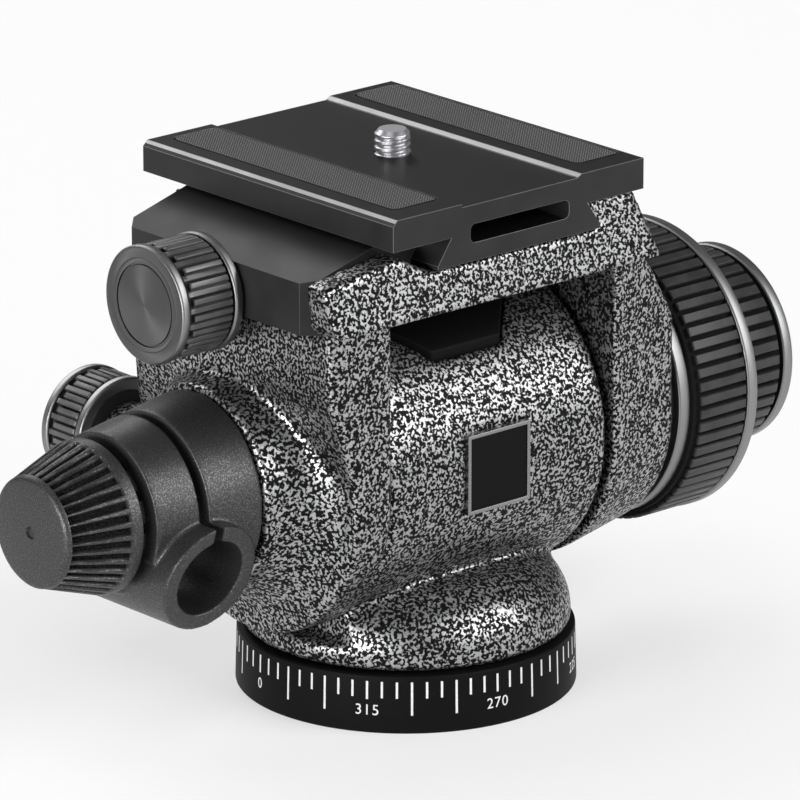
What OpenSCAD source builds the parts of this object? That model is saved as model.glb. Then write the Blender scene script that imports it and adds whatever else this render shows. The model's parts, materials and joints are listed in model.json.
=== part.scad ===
// Two-way fluid head: a panning base with a scale ring, a barrel that carries the tilt axle,
// a tilting yoke with a screw clamp for a dovetail camera plate, a handle clamp on the left,
// two friction rings on the right and a tilt lock at the back.
// +Z is up, the pan axis is Z, the tilt axis runs along X and the badge faces -Y.
// The origin is the centre of the base's lower face, where the tripod's thread enters.

/* [Base] */
// Radius of the scale ring at its lower edge
base_r = 30.5; // [28:0.1:36]
// Radius that the scale ring loses up to its top edge
base_draft = 0.3; // [0:0.1:1.5]
// Height of the scale ring
base_h = 10.6; // [9.5:0.1:14]
// Wall of the scale ring
ring_wall = 4.4; // [3:0.1:6]
// Thickness of the base plate
floor_h = 4; // [3:0.1:5]
// Radius of the tripod thread, 3/8 inch
thread_r = 4.7625; // [3.175:0.0125:4.8]
// Height of the thread insert
insert_h = 10; // [7:0.1:14]
// Radius of the pan post
post_r = 9; // [8.2:0.1:11]
// Distance of the base screws from the scale ring's inner wall
screw_inset = 8.1; // [6:0.1:10]

/* [Pan body] */
// Radius of the domed foot
foot_r = 29.4; // [26:0.1:30]
// Straight height of the foot above the scale ring
foot_wall = 2.1; // [1:0.1:4]
// Rounding of the foot's shoulder
foot_round = 11; // [6:0.1:13]
// Height of the web that turns on the pan post
web_h = 11.5; // [8:0.1:13]
// Radius of the barrel
barrel_r = 28; // [26:0.1:30]
// Reach of the barrel to the left of the pan axis
barrel_left = 25; // [22:0.1:28]
// Reach of the barrel to the right of the pan axis
barrel_right = 26; // [22:0.1:28]
// Half width of the crown cover across its flats
crown_half = 19.3; // [16:0.1:21]
// Height of the crown cover over the barrel
crown_rise = 0.6; // [0.2:0.1:1.5]
// Depth of the crown cover's pocket in the barrel
crown_depth = 2.4; // [1.5:0.1:4]
// Width of the square badge
badge_w = 14.6; // [10:0.1:18]
// Width of the badge's bright border
badge_edge = 0.7; // [0.4:0.1:1.5]

/* [Tilt axis] */
// Height of the tilt axis over the base
tilt_h = 44.7; // [44:0.1:50]
// Set-back of the tilt axis behind the pan axis
axis_back = 3.6; // [0:0.1:5]
// Radius of the tilt axle
axle_r = 9; // [7:0.1:10]
// Wall of the axle's bushes
bush_t = 3; // [2:0.1:4]
// Radius of the arms about the tilt axis
arm_r = 29; // [26:0.1:29.2]
// Thickness of the left arm
left_arm_t = 14.1; // [12:0.1:17]
// Thickness of the right arm
right_arm_t = 16.9; // [14:0.1:20]
// Space between the barrel and the right arm, filled by the thrust washer
right_space = 1.6; // [1.2:0.1:4]
// Radius that the right arm loses up to its outer face
right_arm_draft = 2.8; // [1:0.1:5]
// Depth of the axle's bore in the left arm
left_bore = 10.1; // [8:0.1:11]
// Length of the trumpet that narrows the left arm to the handle boss
boss_h = 10.8; // [9.4:0.1:12]
// Length of the handle boss beyond the left arm's upper face
boss_out = 5.1; // [4:0.1:6]

/* [Platform] */
// Height of the platform's underside over the tilt axis
deck_lo = 33.8; // [33:0.1:38]
// Height of the platform from its underside to the dovetail channel's floor
deck_h = 7.4; // [6:0.1:10]
// Half length of the platform at its top, front to back
deck_half = 31; // [30:0.1:36]
// Outward flare of the platform's front and back faces
deck_flare = 3.6; // [0:0.1:4]
// Reach of the platform to the left at its top
deck_left = 43.8; // [42:0.1:46]
// Reach of the platform to the right at its top
deck_right = 28.6; // [26:0.1:32]
// Flare of the platform's right face
deck_right_flare = 4.4; // [2:0.1:7]
// Highest point of the platform's left wings over the channel's floor
wing_rise = 3.7; // [2:0.1:4.5]
// Width of the platform's left wings
wing_width = 17.3; // [14:0.1:20]
// Radius of the inner corners between the platform and the arms
root_r = 4; // [2:0.1:4.5]

/* [Camera plate] */
// Half width of the camera plate
plate_half_x = 29.2; // [26:0.1:34]
// Half length of the camera plate
plate_half_y = 33.2; // [30:0.1:36]
// Thickness of the camera plate over the dovetail
slab_h = 5.6; // [4.6:0.1:8]
// Half width of the dovetail foot
foot_half = 19; // [18:0.1:20]
// Height of the dovetail
dovetail_h = 5.1; // [4.5:0.1:6]
// Inset of the dovetail's neck from its foot on each side
dovetail_in = 3.1; // [2:0.1:3.6]
// Upright edge of the dovetail's foot
dovetail_edge = 0.6; // [0.4:0.1:1.2]
// Half width of the lower strip between the two raised lands
strip_half = 13.4; // [10:0.1:16]
// Height of the raised lands over the lower strip
land_h = 0.6; // [0.3:0.1:1.2]
// Width of the bright bevels on the lands
bevel_w = 1; // [0.5:0.1:1.5]
// Width of the grip strips
grip_w = 10.8; // [8:0.1:12]
// Half width of the slot in each end of the plate
slot_half = 11.5; // [8:0.1:13]
// Height of the slot in each end of the plate
slot_h = 3.3; // [2:0.1:3.6]
// Depth of the slot in each end of the plate
slot_depth = 18; // [8:0.1:24]
// Radius of the camera screw, 1/4 inch
camera_screw_r = 3.175; // [3.175:0.0125:4.7625]
// Height of the camera screw over the plate's lower strip
camera_screw_up = 4.4; // [3:0.1:5.5]
// Depth of the relief on the camera screw's shank below its thread
shank_relief = 0.6; // [0.3:0.05:1]

/* [Quick release jaw] */
// Length of the sliding jaw
jaw_len = 49.6; // [44:0.1:52]
// Forward shift of the jaw's middle from the tilt axis's middle plane
jaw_shift = 1.9; // [0:0.1:3]
// Distance of the jaw's outer face from the pan axis
jaw_out = 42.5; // [41.5:0.1:46]
// Thickness of the jaw's outer skirt
skirt_t = 4; // [3:0.1:5]
// Depth of the skirt under the jaw's seat
skirt_down = 5; // [4:0.1:6]
// Corner chamfer of the jaw
jaw_chamfer = 2.5; // [1:0.1:4]
// Radius of the jaw's two guide pins
pin_r = 1.25; // [1:0.05:1.4]
// Distance between the two guide pins
pin_pitch = 28; // [22:0.1:32]
// Radius of the clamp bolt
bolt_r = 2.5; // [2:0.1:3]
// Height of the clamp bolt over the platform's underside
bolt_up = 1.5; // [1:0.1:3]

/* [Small knobs] */
// Radius of the two small knobs
knob_r = 10.5; // [9:0.1:12]
// Length of the clamp knob
clamp_knob_len = 13.6; // [11:0.1:16]
// Length of the tilt lock knob
lock_knob_len = 11; // [9.5:0.1:14]
// Depth of the rubber grip on the small knobs
knob_grip_t = 2.2; // [1.6:0.1:3]
// Width of the bright rings on the small knobs
knob_ring_t = 1.8; // [0.8:0.1:2.4]
// Pairs of ribs on the small knobs
knob_pairs = 22; // [12:1:28]
// Distance of the tilt lock's axis from the pan axis
lock_x = 32.2; // [31.8:0.1:33]
// Drop of the tilt lock's axis below the tilt axis
lock_drop = 2.2; // [0:0.1:3]
// Distance of the tilt lock's knob behind the tilt axis
lock_back = 35.4; // [34:0.1:38]
// Radius of the tilt lock's screw
lock_screw_r = 3; // [2.5:0.1:3.4]

/* [Handle clamp] */
// Radius of the handle clamp at the arm
clamp_r = 17.3; // [16:0.1:19]
// Radius of the handle clamp at its outer end
clamp_end_r = 14.25; // [13:0.05:16]
// Length of the handle clamp along the tilt axis
clamp_len = 21; // [20.6:0.1:25]
// Radius of the handle tube's bore
handle_r = 7; // [6:0.1:7.1]
// Wall of the handle tube
handle_wall = 2.9; // [2:0.1:3.4]
// Drop of the handle's axis below the tilt axis
handle_drop = 9.8; // [9.7:0.1:11]
// Reach of the handle tube in front of the tilt axis
handle_front = 16.9; // [15:0.1:18]
// Reach of the handle tube behind the tilt axis
handle_rear = 12; // [10:0.1:13]
// Slant of the handle tube's front end in degrees
handle_slant = 17.5; // [0:0.5:22]
// Width of the clamp's slot
split_w = 1.8; // [1:0.1:3]
// Radius of the clamp's stud
stud_r = 2.5; // [2:0.1:2.6]

/* [Cone knob] */
// Radius of the cone knob at its rim
cone_r = 13.7; // [12:0.1:15]
// Radius of the cone knob at its end
cone_end_r = 10; // [9:0.1:12]
// Length of the cone knob
cone_len = 14.1; // [12:0.1:18]
// Flutes on the cone knob
cone_flutes = 36; // [20:1:44]
// Width of a flute
flute_w = 1.25; // [0.8:0.05:1.6]
// Depth of a flute at the rim
flute_t = 0.9; // [0.5:0.05:1.4]
// Width of the notched collar between clamp and knob
collar_t = 2; // [1.4:0.1:3]

/* [Friction rings] */
// Radius of the tilt friction ring
drag_r = 27.2; // [25:0.1:29]
// Radius of the counterbalance ring
trim_r = 18.6; // [17:0.1:21]
// Width of the tilt friction ring's grip
drag_grip_w = 12.4; // [9:0.1:15]
// Width of the counterbalance ring's grip
trim_grip_w = 12.4; // [10:0.1:15]
// Depth of the rings' rubber grips
ring_grip_t = 2.8; // [2:0.1:3.4]
// Pairs of ribs on the tilt friction ring
drag_pairs = 33; // [20:1:40]
// Pairs of ribs on the counterbalance ring
trim_pairs = 21; // [16:1:28]
// Radius of the spindle under the tilt friction ring
spindle_r = 13; // [11:0.1:15]
// Radius of the spindle under the counterbalance ring
spindle_tip_r = 9; // [7:0.1:10]

/* [Hidden] */
$fn = 96;

// Clearances: between moving bodies, running fits, plate in its clamp, cutters' overrun
gap = 0.4;
run = 0.05;
seat = 0.3;
over = 1;
far = 90;

// Base
ring_in_r = base_r - ring_wall;
screw_circle_r = ring_in_r - screw_inset;
base_top_r = base_r - base_draft;
ring_edge = 0.4;
insert_wall = 2.7;
insert_lip = 2.5;
insert_r = thread_r + insert_wall;
insert_flange_r = insert_r + insert_lip;
insert_flange_t = 1.5;
flange_t = 3;
flange_top = floor_h + flange_t;
post_hole_r = thread_r + 0.5;
nut_thread_r = post_r - 2;
nut_h = 5;
nut_wall = 3.5;
nut_r = post_r + nut_wall;
nut_slot_t = 1.6;
nut_slot_w = 3;
nut_slot_z = 2;
screw_r = 2;
screw_head_r = 3.6;
screw_head_t = 2.2;
screw_sink = 0.4;
screw_key_r = 1.6;
screw_key_t = 1.4;
screw_tip = flange_top - 0.6;
flange_r = ring_in_r - 1.6;

// Pan body
foot_z = base_h + gap - 0.1;
foot_top = foot_z + foot_wall + foot_round;
web_top = foot_z + web_h;
bush_top = web_top + 0.1;
nut_z = bush_top + 0.2;
pan_bush_r = post_r + 3;
pan_bush_flange_r = pan_bush_r + 4;
pan_bush_z = flange_top + run;
well_r = nut_r + 0.7;
arm_low_z = tilt_h - arm_r - 0.6;
badge_t = 1.2;
badge_face = barrel_r;
badge_proud = 0.15;
badge_lift = 0.4;
crown_sides = 8;
crown_in_r = barrel_r - crown_depth;
crown_top_r = barrel_r + crown_rise;

// Tilt axis, in a frame at the middle of the axis
left_in = -(barrel_left + gap);
left_out = left_in - left_arm_t;
right_in = barrel_right + right_space;
right_out = right_in + right_arm_t;
bush_r = axle_r + bush_t;
bore_r = axle_r + run;
left_bore_end = left_in - left_bore;
axle_left = left_bore_end + gap;
spigot_t = 3;
spigot_wall = 7;
spigot_r = bush_r + spigot_wall;
spigot_x = right_out - spigot_t;
axle_right = spigot_x - seat;
boss_end = left_out - boss_out;
trumpet_x = boss_end + boss_h;
block_low = 4;
block_high = 20;
block_half = arm_r - 0.1;
block_corner = 5;
right_r = arm_r - 0.5;
web_in = 0.15;
thrust_wall = 7;
washer_r = axle_r + thrust_wall;

// Platform and camera plate
floor_z = deck_lo + deck_h;
foot_lo = floor_z + seat;
foot_hi = foot_lo + dovetail_edge;
slab_lo = foot_lo + dovetail_h;
slab_hi = slab_lo + slab_h;
neck_half = foot_half - dovetail_in;
flank = dovetail_in / (dovetail_h - dovetail_edge);
lip_top = slab_lo - seat;
lip_in = neck_half + seat + flank * seat;
lip_foot = foot_half + seat;
wing_left_drop = 2.3;
wing_peak = deck_left - wing_width;
wing_left_in = 1.4;
wing_foot = foot_half + 1;
shoulder_low = 17;
shoulder_mid = 29;
shoulder_in = 6.5;
strip_z = slab_hi - land_h;
grip_t = 0.5;
grip_proud = 0.1;
grip_corner = 1.6;
slot_corner = 1.1;
grip_front = 4.8;
grip_back = 2;
grip_left_x = -strip_half - 0.6 - grip_w;
grip_right_x = plate_half_x - 0.7 - grip_w;
slot_roof = 3.5;
slot_z = strip_z - slot_roof - slot_h;
screw_hole_r = camera_screw_r + 0.15;
screw_cap_wall = 3.6;
screw_cap_r = camera_screw_r + screw_cap_wall;
shank_r = camera_screw_r - shank_relief;
screw_tip_edge = 0.6;
screw_slot_w = 1.4;
screw_slot_t = 1.2;
screw_cap_h = 3;
screw_pit_r = screw_cap_r + gap;
screw_pit_h = screw_cap_h + 2 * seat;

// Quick release jaw
recess_t = 3.9;
recess_z = floor_z - recess_t;
jaw_lo = recess_z + seat;
jaw_top = slab_lo - seat;
jaw_top_in = 27;
rear_wing_in = 6;
rear_wing_x = plate_half_x - rear_wing_in;
jaw_slope_h = 4.4;
jaw_edge_z = jaw_top - jaw_slope_h;
skirt_lo = jaw_lo - skirt_down;
skirt_in = jaw_out - skirt_t;
skirt_wall = skirt_in - seat;
jaw_back_x = foot_half + seat + 0.2;
jaw_nose = neck_half + seat;
recess_x = -(neck_half - 0.7);
bolt_z = deck_lo + bolt_up;
bolt_end = -28;
bolt_pad_wall = 3.5;
bolt_pad_r = bolt_r + bolt_pad_wall;
pin_up = 1.9;
pin_in = 7;
pin_cover = 8;
pin_over = 4;
pin_z = recess_z + pin_up;
pin_x = recess_x + pin_in;
pin_end = -(jaw_out - pin_cover);
washer_t = 0.5;
knob_x = -(jaw_out + washer_t + 0.1);
washer_wall = 4;
washer_out_r = bolt_r + washer_wall;

// Small knobs
knob_core_r = knob_r - knob_grip_t;
knob_groove = 1;
knob_groove_low = 0.6;
ring_groove = 1.2;
groove_share = 0.14;
rib_sunk = 0.2;
band_edge = 0.3;
knob_cap_t = 1.2;
disc_groove_in = 1.2;
disc_groove_w = 0.3;
disc_groove_floor = 0.6;
disc_sunk = 0.2;
knob_bolt_depth = 8;
lock_boss_r = lock_x - barrel_left - gap - 0.1;
lock_boss_in = 4;
pad_out = 2;
lock_tip_gap = 0.4;

// Handle clamp and cone knob
clamp_x = boss_end - gap;
clamp_end = clamp_x - clamp_len;
handle_x = clamp_x - clamp_len / 2 - 1;
tube_r = handle_r + handle_wall;
relief_r = tube_r + 0.3;
relief_len = 6.4;
relief_from = handle_front - relief_len;
handle_over = 6;
collar_end = clamp_end - collar_t;
collar_in = 2.4;
collar_r = cone_r - collar_in;
collar_notches = 12;
collar_notch_t = 1.4;
collar_notch_w = 1.8;
cone_x = collar_end - 0.3;
stud_cover = 3.5;
stud_end = cone_x - cone_len + stud_cover;
cone_rim = 1.8;
cone_edge = 1;
cone_round = 2.4;
cone_round_h = 0.2;
cone_foot_edge = 0.4;
dimple_r = 1.1;
dimple_t = 0.7;
flute_lead = 0.6;
cone_nut_skin = 0.3;
cone_nut_wall = 2.6;
cone_nut_cover = 3;
cone_nut_r = stud_r + cone_nut_wall;
cone_nut_h = cone_len - cone_nut_cover;

// Friction rings
drag_x = right_out + gap;
skirt_w = 1.5;
skirt_under = 3.7;
skirt_r = drag_r - skirt_under;
inner_ring_w = 2.8;
inner_ring_t = 3.8;
inner_ring_edge = 0.5;
inner_ring_under = 2;
inner_ring_r = drag_r - inner_ring_under;
outer_ring_w = 2.4;
drag_seat_r = drag_r - ring_grip_t;
drag_grip_z = skirt_w + inner_ring_w;
drag_ring_z = drag_grip_z + drag_grip_w;
drag_len = drag_ring_z + outer_ring_w;
drag_nose = 1.2;
drag_nose_more = 3;
spindle_step = drag_x + drag_len + drag_nose + 0.3;
trim_x = spindle_step + 0.1;
trim_lead = 1;
trim_seat_r = trim_r - ring_grip_t;
trim_ring_z = trim_lead + trim_grip_w;
trim_ring_w = 2.4;
trim_ring_r = trim_r - 0.1;
trim_len = trim_ring_z + trim_ring_w;
trim_cap_r = trim_seat_r - 0.8;
trim_cap_t = 1.4;
trim_cap_edge_h = 0.4;
trim_cap_edge_in = 1.2;
trim_groove_in = 2.8;
trim_groove_w = 0.6;
trim_groove_floor = 0.7;
trim_lead_in = 1;
trim_pit_t = 3.5;
trim_pit_gap = 0.6;
spindle_head_t = 2.4;
spindle_head_wall = 2;
spindle_key_r = 3;
spindle_key_floor = 0.9;
spindle_screw_len = 18;
spindle_short = 3;
spindle_head_r = spindle_tip_r + spindle_head_wall;
spindle_end = trim_x + trim_ring_z - spindle_short;

// Colours
speckle = [0.42, 0.42, 0.43];
black = [0.07, 0.07, 0.08];
rubber = [0.12, 0.12, 0.12];
silver = [0.74, 0.74, 0.75];
steel = [0.6, 0.61, 0.62];
bronze = [0.62, 0.45, 0.24];

// Places children at the middle of the tilt axis
module tilt_frame() {
    translate([0, axis_back, tilt_h])
        children();
}

// Cylinder along X between two stations
module rod_x(x0, x1, r) {
    translate([x0, 0, 0])
        rotate([0, 90, 0])
            cylinder(h = x1 - x0, r = r);
}

// Tube along X between two stations
module tube_x(x0, x1, r_in, r_out) {
    difference() {
        rod_x(x0, x1, r_out);
        rod_x(x0 - over, x1 + over, r_in);
    }
}

// Cylinder along Y between two stations
module rod_y(y0, y1, r) {
    translate([0, y0, 0])
        rotate([-90, 0, 0])
            cylinder(h = y1 - y0, r = r);
}

// Extrudes an outline of X and Z values along Y, from y0 to y1
module along_y(y0, y1) {
    translate([0, y1, 0])
        rotate([90, 0, 0])
            linear_extrude(y1 - y0)
                children();
}

// Extrudes an outline of Y and Z values along X, from x0 to x1
module along_x(x0, x1) {
    translate([x0, 0, 0])
        rotate([90, 0, 90])
            linear_extrude(x1 - x0)
                children();
}

// Outline of a rubber grip: pairs of ribs, with a groove of its own depth after each rib of a pair
module knurl(r, deep, low, pairs) {
    groove_w = groove_share * 2 * PI * r / pairs;
    difference() {
        circle(r);
        for (i = [0 : pairs - 1])
            rotate(i * 360 / pairs) {
                translate([r - deep, -groove_w / 2])
                    square([deep + over, groove_w]);
                rotate(180 / pairs)
                    translate([r - low, -groove_w / 2])
                        square([low + over, groove_w]);
            }
    }
}

// Outline of a rectangle with one corner at the origin and round corners
module rounded(w, l, r) {
    translate([r, 0])
        square([w - 2 * r, l]);
    translate([0, r])
        square([w, l - 2 * r]);
    for (x = [r, w - r], y = [r, l - r])
        translate([x, y])
            circle(r);
}

// Ring of revolution with a chamfered outer edge at both ends
module edged_ring(r_in, r_out, h, edge) {
    rotate_extrude()
        polygon([[r_in, 0], [r_out - edge, 0], [r_out, edge], [r_out, h - edge],
            [r_out - edge, h], [r_in, h]]);
}

// Parts of a small knob; its axis is Z and it stands outward from z = 0
module small_knob_core(len, r) {
    difference() {
        cylinder(h = len - knob_cap_t, r = knob_core_r);
        translate([0, 0, -over])
            cylinder(h = knob_bolt_depth + over, r = r);
    }
}

module small_knob_rear_ring() {
    edged_ring(knob_core_r, knob_r, knob_ring_t, band_edge);
}

module small_knob_grip(len) {
    translate([0, 0, knob_ring_t])
        linear_extrude(len - 2 * knob_ring_t)
            difference() {
                knurl(knob_r - rib_sunk, knob_groove, knob_groove_low, knob_pairs);
                circle(knob_core_r);
            }
}

module small_knob_front_ring(len) {
    translate([0, 0, len - knob_ring_t])
        rotate_extrude()
            polygon([[knob_core_r, 0], [knob_r, 0], [knob_r, knob_ring_t - band_edge],
                [knob_r - band_edge, knob_ring_t], [knob_core_r, knob_ring_t]]);
}

module small_knob_cap(len) {
    groove_r = knob_core_r - disc_groove_in;
    translate([0, 0, len - knob_cap_t])
        rotate_extrude()
            polygon([[0, 0], [knob_core_r, 0], [knob_core_r, knob_cap_t],
                [groove_r + disc_groove_w, knob_cap_t],
                [groove_r + disc_groove_w, disc_groove_floor], [groove_r, disc_groove_floor],
                [groove_r, knob_cap_t - disc_sunk], [0, knob_cap_t - disc_sunk]]);
}

// Places a part of the clamp knob, and of the tilt lock knob
module clamp_knob_frame() {
    tilt_frame()
        translate([knob_x, 0, bolt_z])
            rotate([0, -90, 0])
                children();
}

module lock_frame() {
    tilt_frame()
        translate([-lock_x, lock_back, -lock_drop])
            rotate([-90, 0, 0])
                children();
}

// Base
module scale_ring() {
    color(black)
        rotate_extrude()
            polygon([[ring_in_r, 0], [base_r - ring_edge, 0], [base_r, ring_edge],
                [base_top_r, base_h - ring_edge], [base_top_r - ring_edge, base_h],
                [ring_in_r, base_h]]);
}

module base_plate() {
    color(steel)
        difference() {
            cylinder(h = floor_h, r = ring_in_r);
            translate([0, 0, -over])
                cylinder(h = floor_h + 2 * over, r = insert_r);
            for (i = [0 : 2])
                rotate(i * 120)
                    screw_shape(over);
        }
}

// A countersunk base screw, also used to cut its seat
module screw_shape(extra) {
    translate([screw_circle_r, 0, 0]) {
        translate([0, 0, screw_sink - extra])
            cylinder(h = screw_head_t + extra, r = screw_head_r);
        translate([0, 0, screw_sink])
            cylinder(h = screw_tip - screw_sink, r = screw_r);
    }
}

module base_screw(i) {
    color(steel)
        rotate(i * 120)
            difference() {
                screw_shape(0);
                translate([screw_circle_r, 0, screw_sink - over])
                    cylinder(h = screw_key_t + over, r = screw_key_r, $fn = 6);
            }
}

module base_screw_1() {
    base_screw(0);
}

module base_screw_2() {
    base_screw(1);
}

module base_screw_3() {
    base_screw(2);
}

module thread_insert() {
    color(bronze)
        rotate_extrude()
            polygon([[thread_r, 0], [insert_r, 0], [insert_r, floor_h],
                [insert_flange_r, floor_h], [insert_flange_r, floor_h + insert_flange_t],
                [insert_r, floor_h + insert_flange_t], [insert_r, insert_h],
                [thread_r, insert_h]]);
}

module pan_post() {
    color(steel)
        difference() {
            rotate_extrude()
                polygon([[insert_flange_r, floor_h], [flange_r, floor_h],
                    [flange_r, flange_top], [post_r, flange_top], [post_r, nut_z],
                    [nut_thread_r, nut_z], [nut_thread_r, nut_z + nut_h],
                    [post_hole_r, nut_z + nut_h], [post_hole_r, insert_h],
                    [insert_r, insert_h], [insert_r, floor_h + insert_flange_t],
                    [insert_flange_r, floor_h + insert_flange_t]]);
            for (i = [0 : 2])
                rotate(i * 120)
                    translate([screw_circle_r, 0, floor_h - over])
                        cylinder(h = screw_tip - floor_h + over, r = screw_r);
        }
}

module pan_nut() {
    color(steel)
        translate([0, 0, nut_z])
            difference() {
                cylinder(h = nut_h, r = nut_r);
                translate([0, 0, -over])
                    cylinder(h = nut_h + 2 * over, r = nut_thread_r);
                for (i = [0 : 3])
                    rotate(i * 90)
                        translate([nut_r - nut_slot_t, -nut_slot_w / 2, nut_slot_z])
                            cube([2 * nut_slot_t, nut_slot_w, nut_h]);
            }
}

// Pan body
module crown_prism() {
    rotate(180 / crown_sides)
        cylinder(h = far, r = crown_half / cos(180 / crown_sides), $fn = crown_sides);
}

module badge_block(w, deep, face) {
    translate([-w / 2, -face, badge_lift - w / 2])
        cube([w, deep, w]);
}

module foot() {
    rotate_extrude()
        union() {
            translate([0, foot_z])
                square([foot_r, foot_wall]);
            translate([0, foot_z])
                square([foot_r - foot_round, foot_wall + foot_round]);
            translate([foot_r - foot_round, foot_z + foot_wall])
                intersection() {
                    circle(foot_round);
                    square(foot_round);
                }
        }
}

module pan_body() {
    color(speckle)
        difference() {
            union() {
                difference() {
                    foot();
                    translate([-far - barrel_left, -far, arm_low_z])
                        cube([far, 2 * far, far]);
                    translate([barrel_right, -far, arm_low_z])
                        cube([far, 2 * far, far]);
                }
                tilt_frame()
                    rod_x(-barrel_left, barrel_right, barrel_r);
            }
            translate([0, 0, foot_z - over])
                cylinder(h = web_h + 2 * over, r = pan_bush_r);
            translate([0, 0, web_top])
                cylinder(h = far, r = well_r);
            tilt_frame() {
                rod_x(-far, far, axle_r);
                difference() {
                    crown_prism();
                    rod_x(-far, far, crown_in_r);
                }
                badge_block(badge_w, over + badge_t, badge_face + over);
            }
        }
}

module pan_bush() {
    color(bronze)
        rotate_extrude()
            polygon([[post_r + run, pan_bush_z], [pan_bush_flange_r, pan_bush_z],
                [pan_bush_flange_r, foot_z], [pan_bush_r, foot_z], [pan_bush_r, bush_top],
                [post_r + run, bush_top]]);
}

module tilt_axle() {
    color(steel)
        tilt_frame()
            rod_x(axle_left, axle_right, axle_r);
}

module crown_cover() {
    color(black)
        tilt_frame()
            intersection() {
                crown_prism();
                tube_x(-barrel_left, barrel_right, crown_in_r, crown_top_r);
            }
}

module badge_plate() {
    color(black)
        tilt_frame()
            badge_block(badge_w - 2 * badge_edge, badge_t, badge_face);
}

module badge_frame() {
    color(silver)
        tilt_frame()
            difference() {
                badge_block(badge_w, badge_t + badge_proud, badge_face + badge_proud);
                badge_block(badge_w - 2 * badge_edge, badge_t + 2 * over, badge_face + over);
            }
}

// Yoke
module platform() {
    intersection() {
        along_y(-far / 2, far / 2)
            polygon([[-deck_left + wing_left_in, deck_lo],
                [-deck_left, floor_z + wing_rise - wing_left_drop],
                [-wing_peak, floor_z + wing_rise], [-wing_foot, floor_z],
                [lip_foot, floor_z], [lip_foot, foot_hi], [lip_in, lip_top],
                [deck_right, lip_top], [deck_right + deck_right_flare, deck_lo]]);
        along_x(-far, far)
            polygon([[-deck_half - deck_flare, deck_lo - over], [-deck_half, lip_top + over],
                [deck_half, lip_top + over], [deck_half + deck_flare, deck_lo - over]]);
    }
}

module left_arm() {
    along_x(trumpet_x, left_in)
        union() {
            circle(arm_r);
            translate([-arm_r, 0])
                square([2 * arm_r, deck_lo + over]);
        }
    intersection() {
        along_y(-far / 2, far / 2)
            polygon([[left_in, block_low], [trumpet_x, block_low], [left_out, block_high],
                [left_out, deck_lo + over], [left_in, deck_lo + over]]);
        linear_extrude(far)
            polygon([[left_in, -block_half], [left_out, -block_half],
                [left_out, block_half - block_corner],
                [left_out + block_corner, block_half], [left_in, block_half]]);
    }
    translate([trumpet_x, 0, 0])
        rotate([0, -90, 0])
            rotate_extrude()
                difference() {
                    square([arm_r, boss_h]);
                    translate([arm_r, boss_h])
                        circle(boss_h);
                }
    translate([-lock_x, 0, -lock_drop])
        rod_y(bush_r + lock_boss_in, lock_back - gap, lock_boss_r);
}

module right_arm() {
    small_r = right_r - right_arm_draft;
    intersection() {
        union() {
            translate([right_in, 0, 0])
                rotate([0, 90, 0])
                    cylinder(h = right_arm_t, r1 = right_r, r2 = small_r);
            linear_extrude(deck_lo + over)
                polygon([[right_in, -right_r + web_in], [right_out, -small_r + web_in],
                    [right_out, small_r - web_in], [right_in, right_r - web_in]]);
        }
        along_y(-far / 2, far / 2)
            polygon([[right_in - over, -far], [right_out + over, -far],
                [right_out + over, shoulder_low], [right_out - shoulder_in, shoulder_mid],
                [deck_right + deck_right_flare, deck_lo + over], [right_in - over, deck_lo + over]]);
    }
}

// Concave corner along Y, at the arm's inner face and under the platform
module root(x, side) {
    translate([x, 0, deck_lo])
        along_y(-block_half + root_r / 2, block_half - root_r / 2)
            scale([side, 1])
                difference() {
                    translate([-over, -root_r])
                        square([root_r + over, root_r + over]);
                    translate([root_r, -root_r])
                        circle(root_r);
                }
}

module yoke() {
    jaw_y = -jaw_shift - jaw_len / 2 - seat;
    jaw_w = jaw_len + 2 * seat;
    color(speckle)
        tilt_frame()
            difference() {
                union() {
                    platform();
                    left_arm();
                    right_arm();
                    root(left_in, 1);
                    root(right_in, -1);
                }
                translate([-far, jaw_y, recess_z])
                    cube([far + recess_x, jaw_w, far]);
                translate([-far, jaw_y, skirt_lo - seat])
                    cube([far - skirt_wall, jaw_w, far]);
                translate([-far, jaw_y + jaw_w - over, deck_lo])
                    cube([far - rear_wing_x, far, far]);
                translate([0, 0, bolt_z]) {
                    rod_x(-far, -skirt_wall, bolt_pad_r + seat);
                    rod_x(-far, bolt_end + over, bolt_r + run);
                }
                for (side = [-1, 1])
                    translate([0, -jaw_shift + side * pin_pitch / 2, pin_z])
                        rod_x(-far, pin_x, pin_r);
                rod_x(left_bore_end, left_in + over, bush_r);
                rod_x(right_in - over, right_out + over, bush_r);
                rod_x(spigot_x, right_out + over, spigot_r);
                rod_x(-far, left_bore_end - over, stud_r);
                translate([-lock_x, 0, -lock_drop])
                    rod_y(axle_r, far, lock_screw_r + run);
            }
}

module left_bush() {
    color(bronze)
        tilt_frame()
            difference() {
                tube_x(left_bore_end, left_in, bore_r, bush_r);
                translate([-lock_x, 0, -lock_drop])
                    rod_y(0, far, lock_screw_r + run);
            }
}

module right_bush() {
    color(bronze)
        tilt_frame()
            tube_x(right_in, spigot_x, bore_r, bush_r);
}

module thrust_washer() {
    color(bronze)
        tilt_frame()
            tube_x(barrel_right + seat, right_in, axle_r + seat, washer_r);
}

module clamp_stud() {
    color(steel)
        tilt_frame()
            rod_x(stud_end, left_bore_end - over, stud_r);
}

module ring_spindle() {
    color(steel)
        tilt_frame()
            difference() {
                union() {
                    rod_x(spigot_x, right_out, spigot_r);
                    rod_x(spigot_x, spindle_step, spindle_r);
                    rod_x(spigot_x, spindle_end, spindle_tip_r);
                }
                rod_x(spindle_end - spindle_screw_len, spindle_end + over, bolt_r);
            }
}

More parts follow.
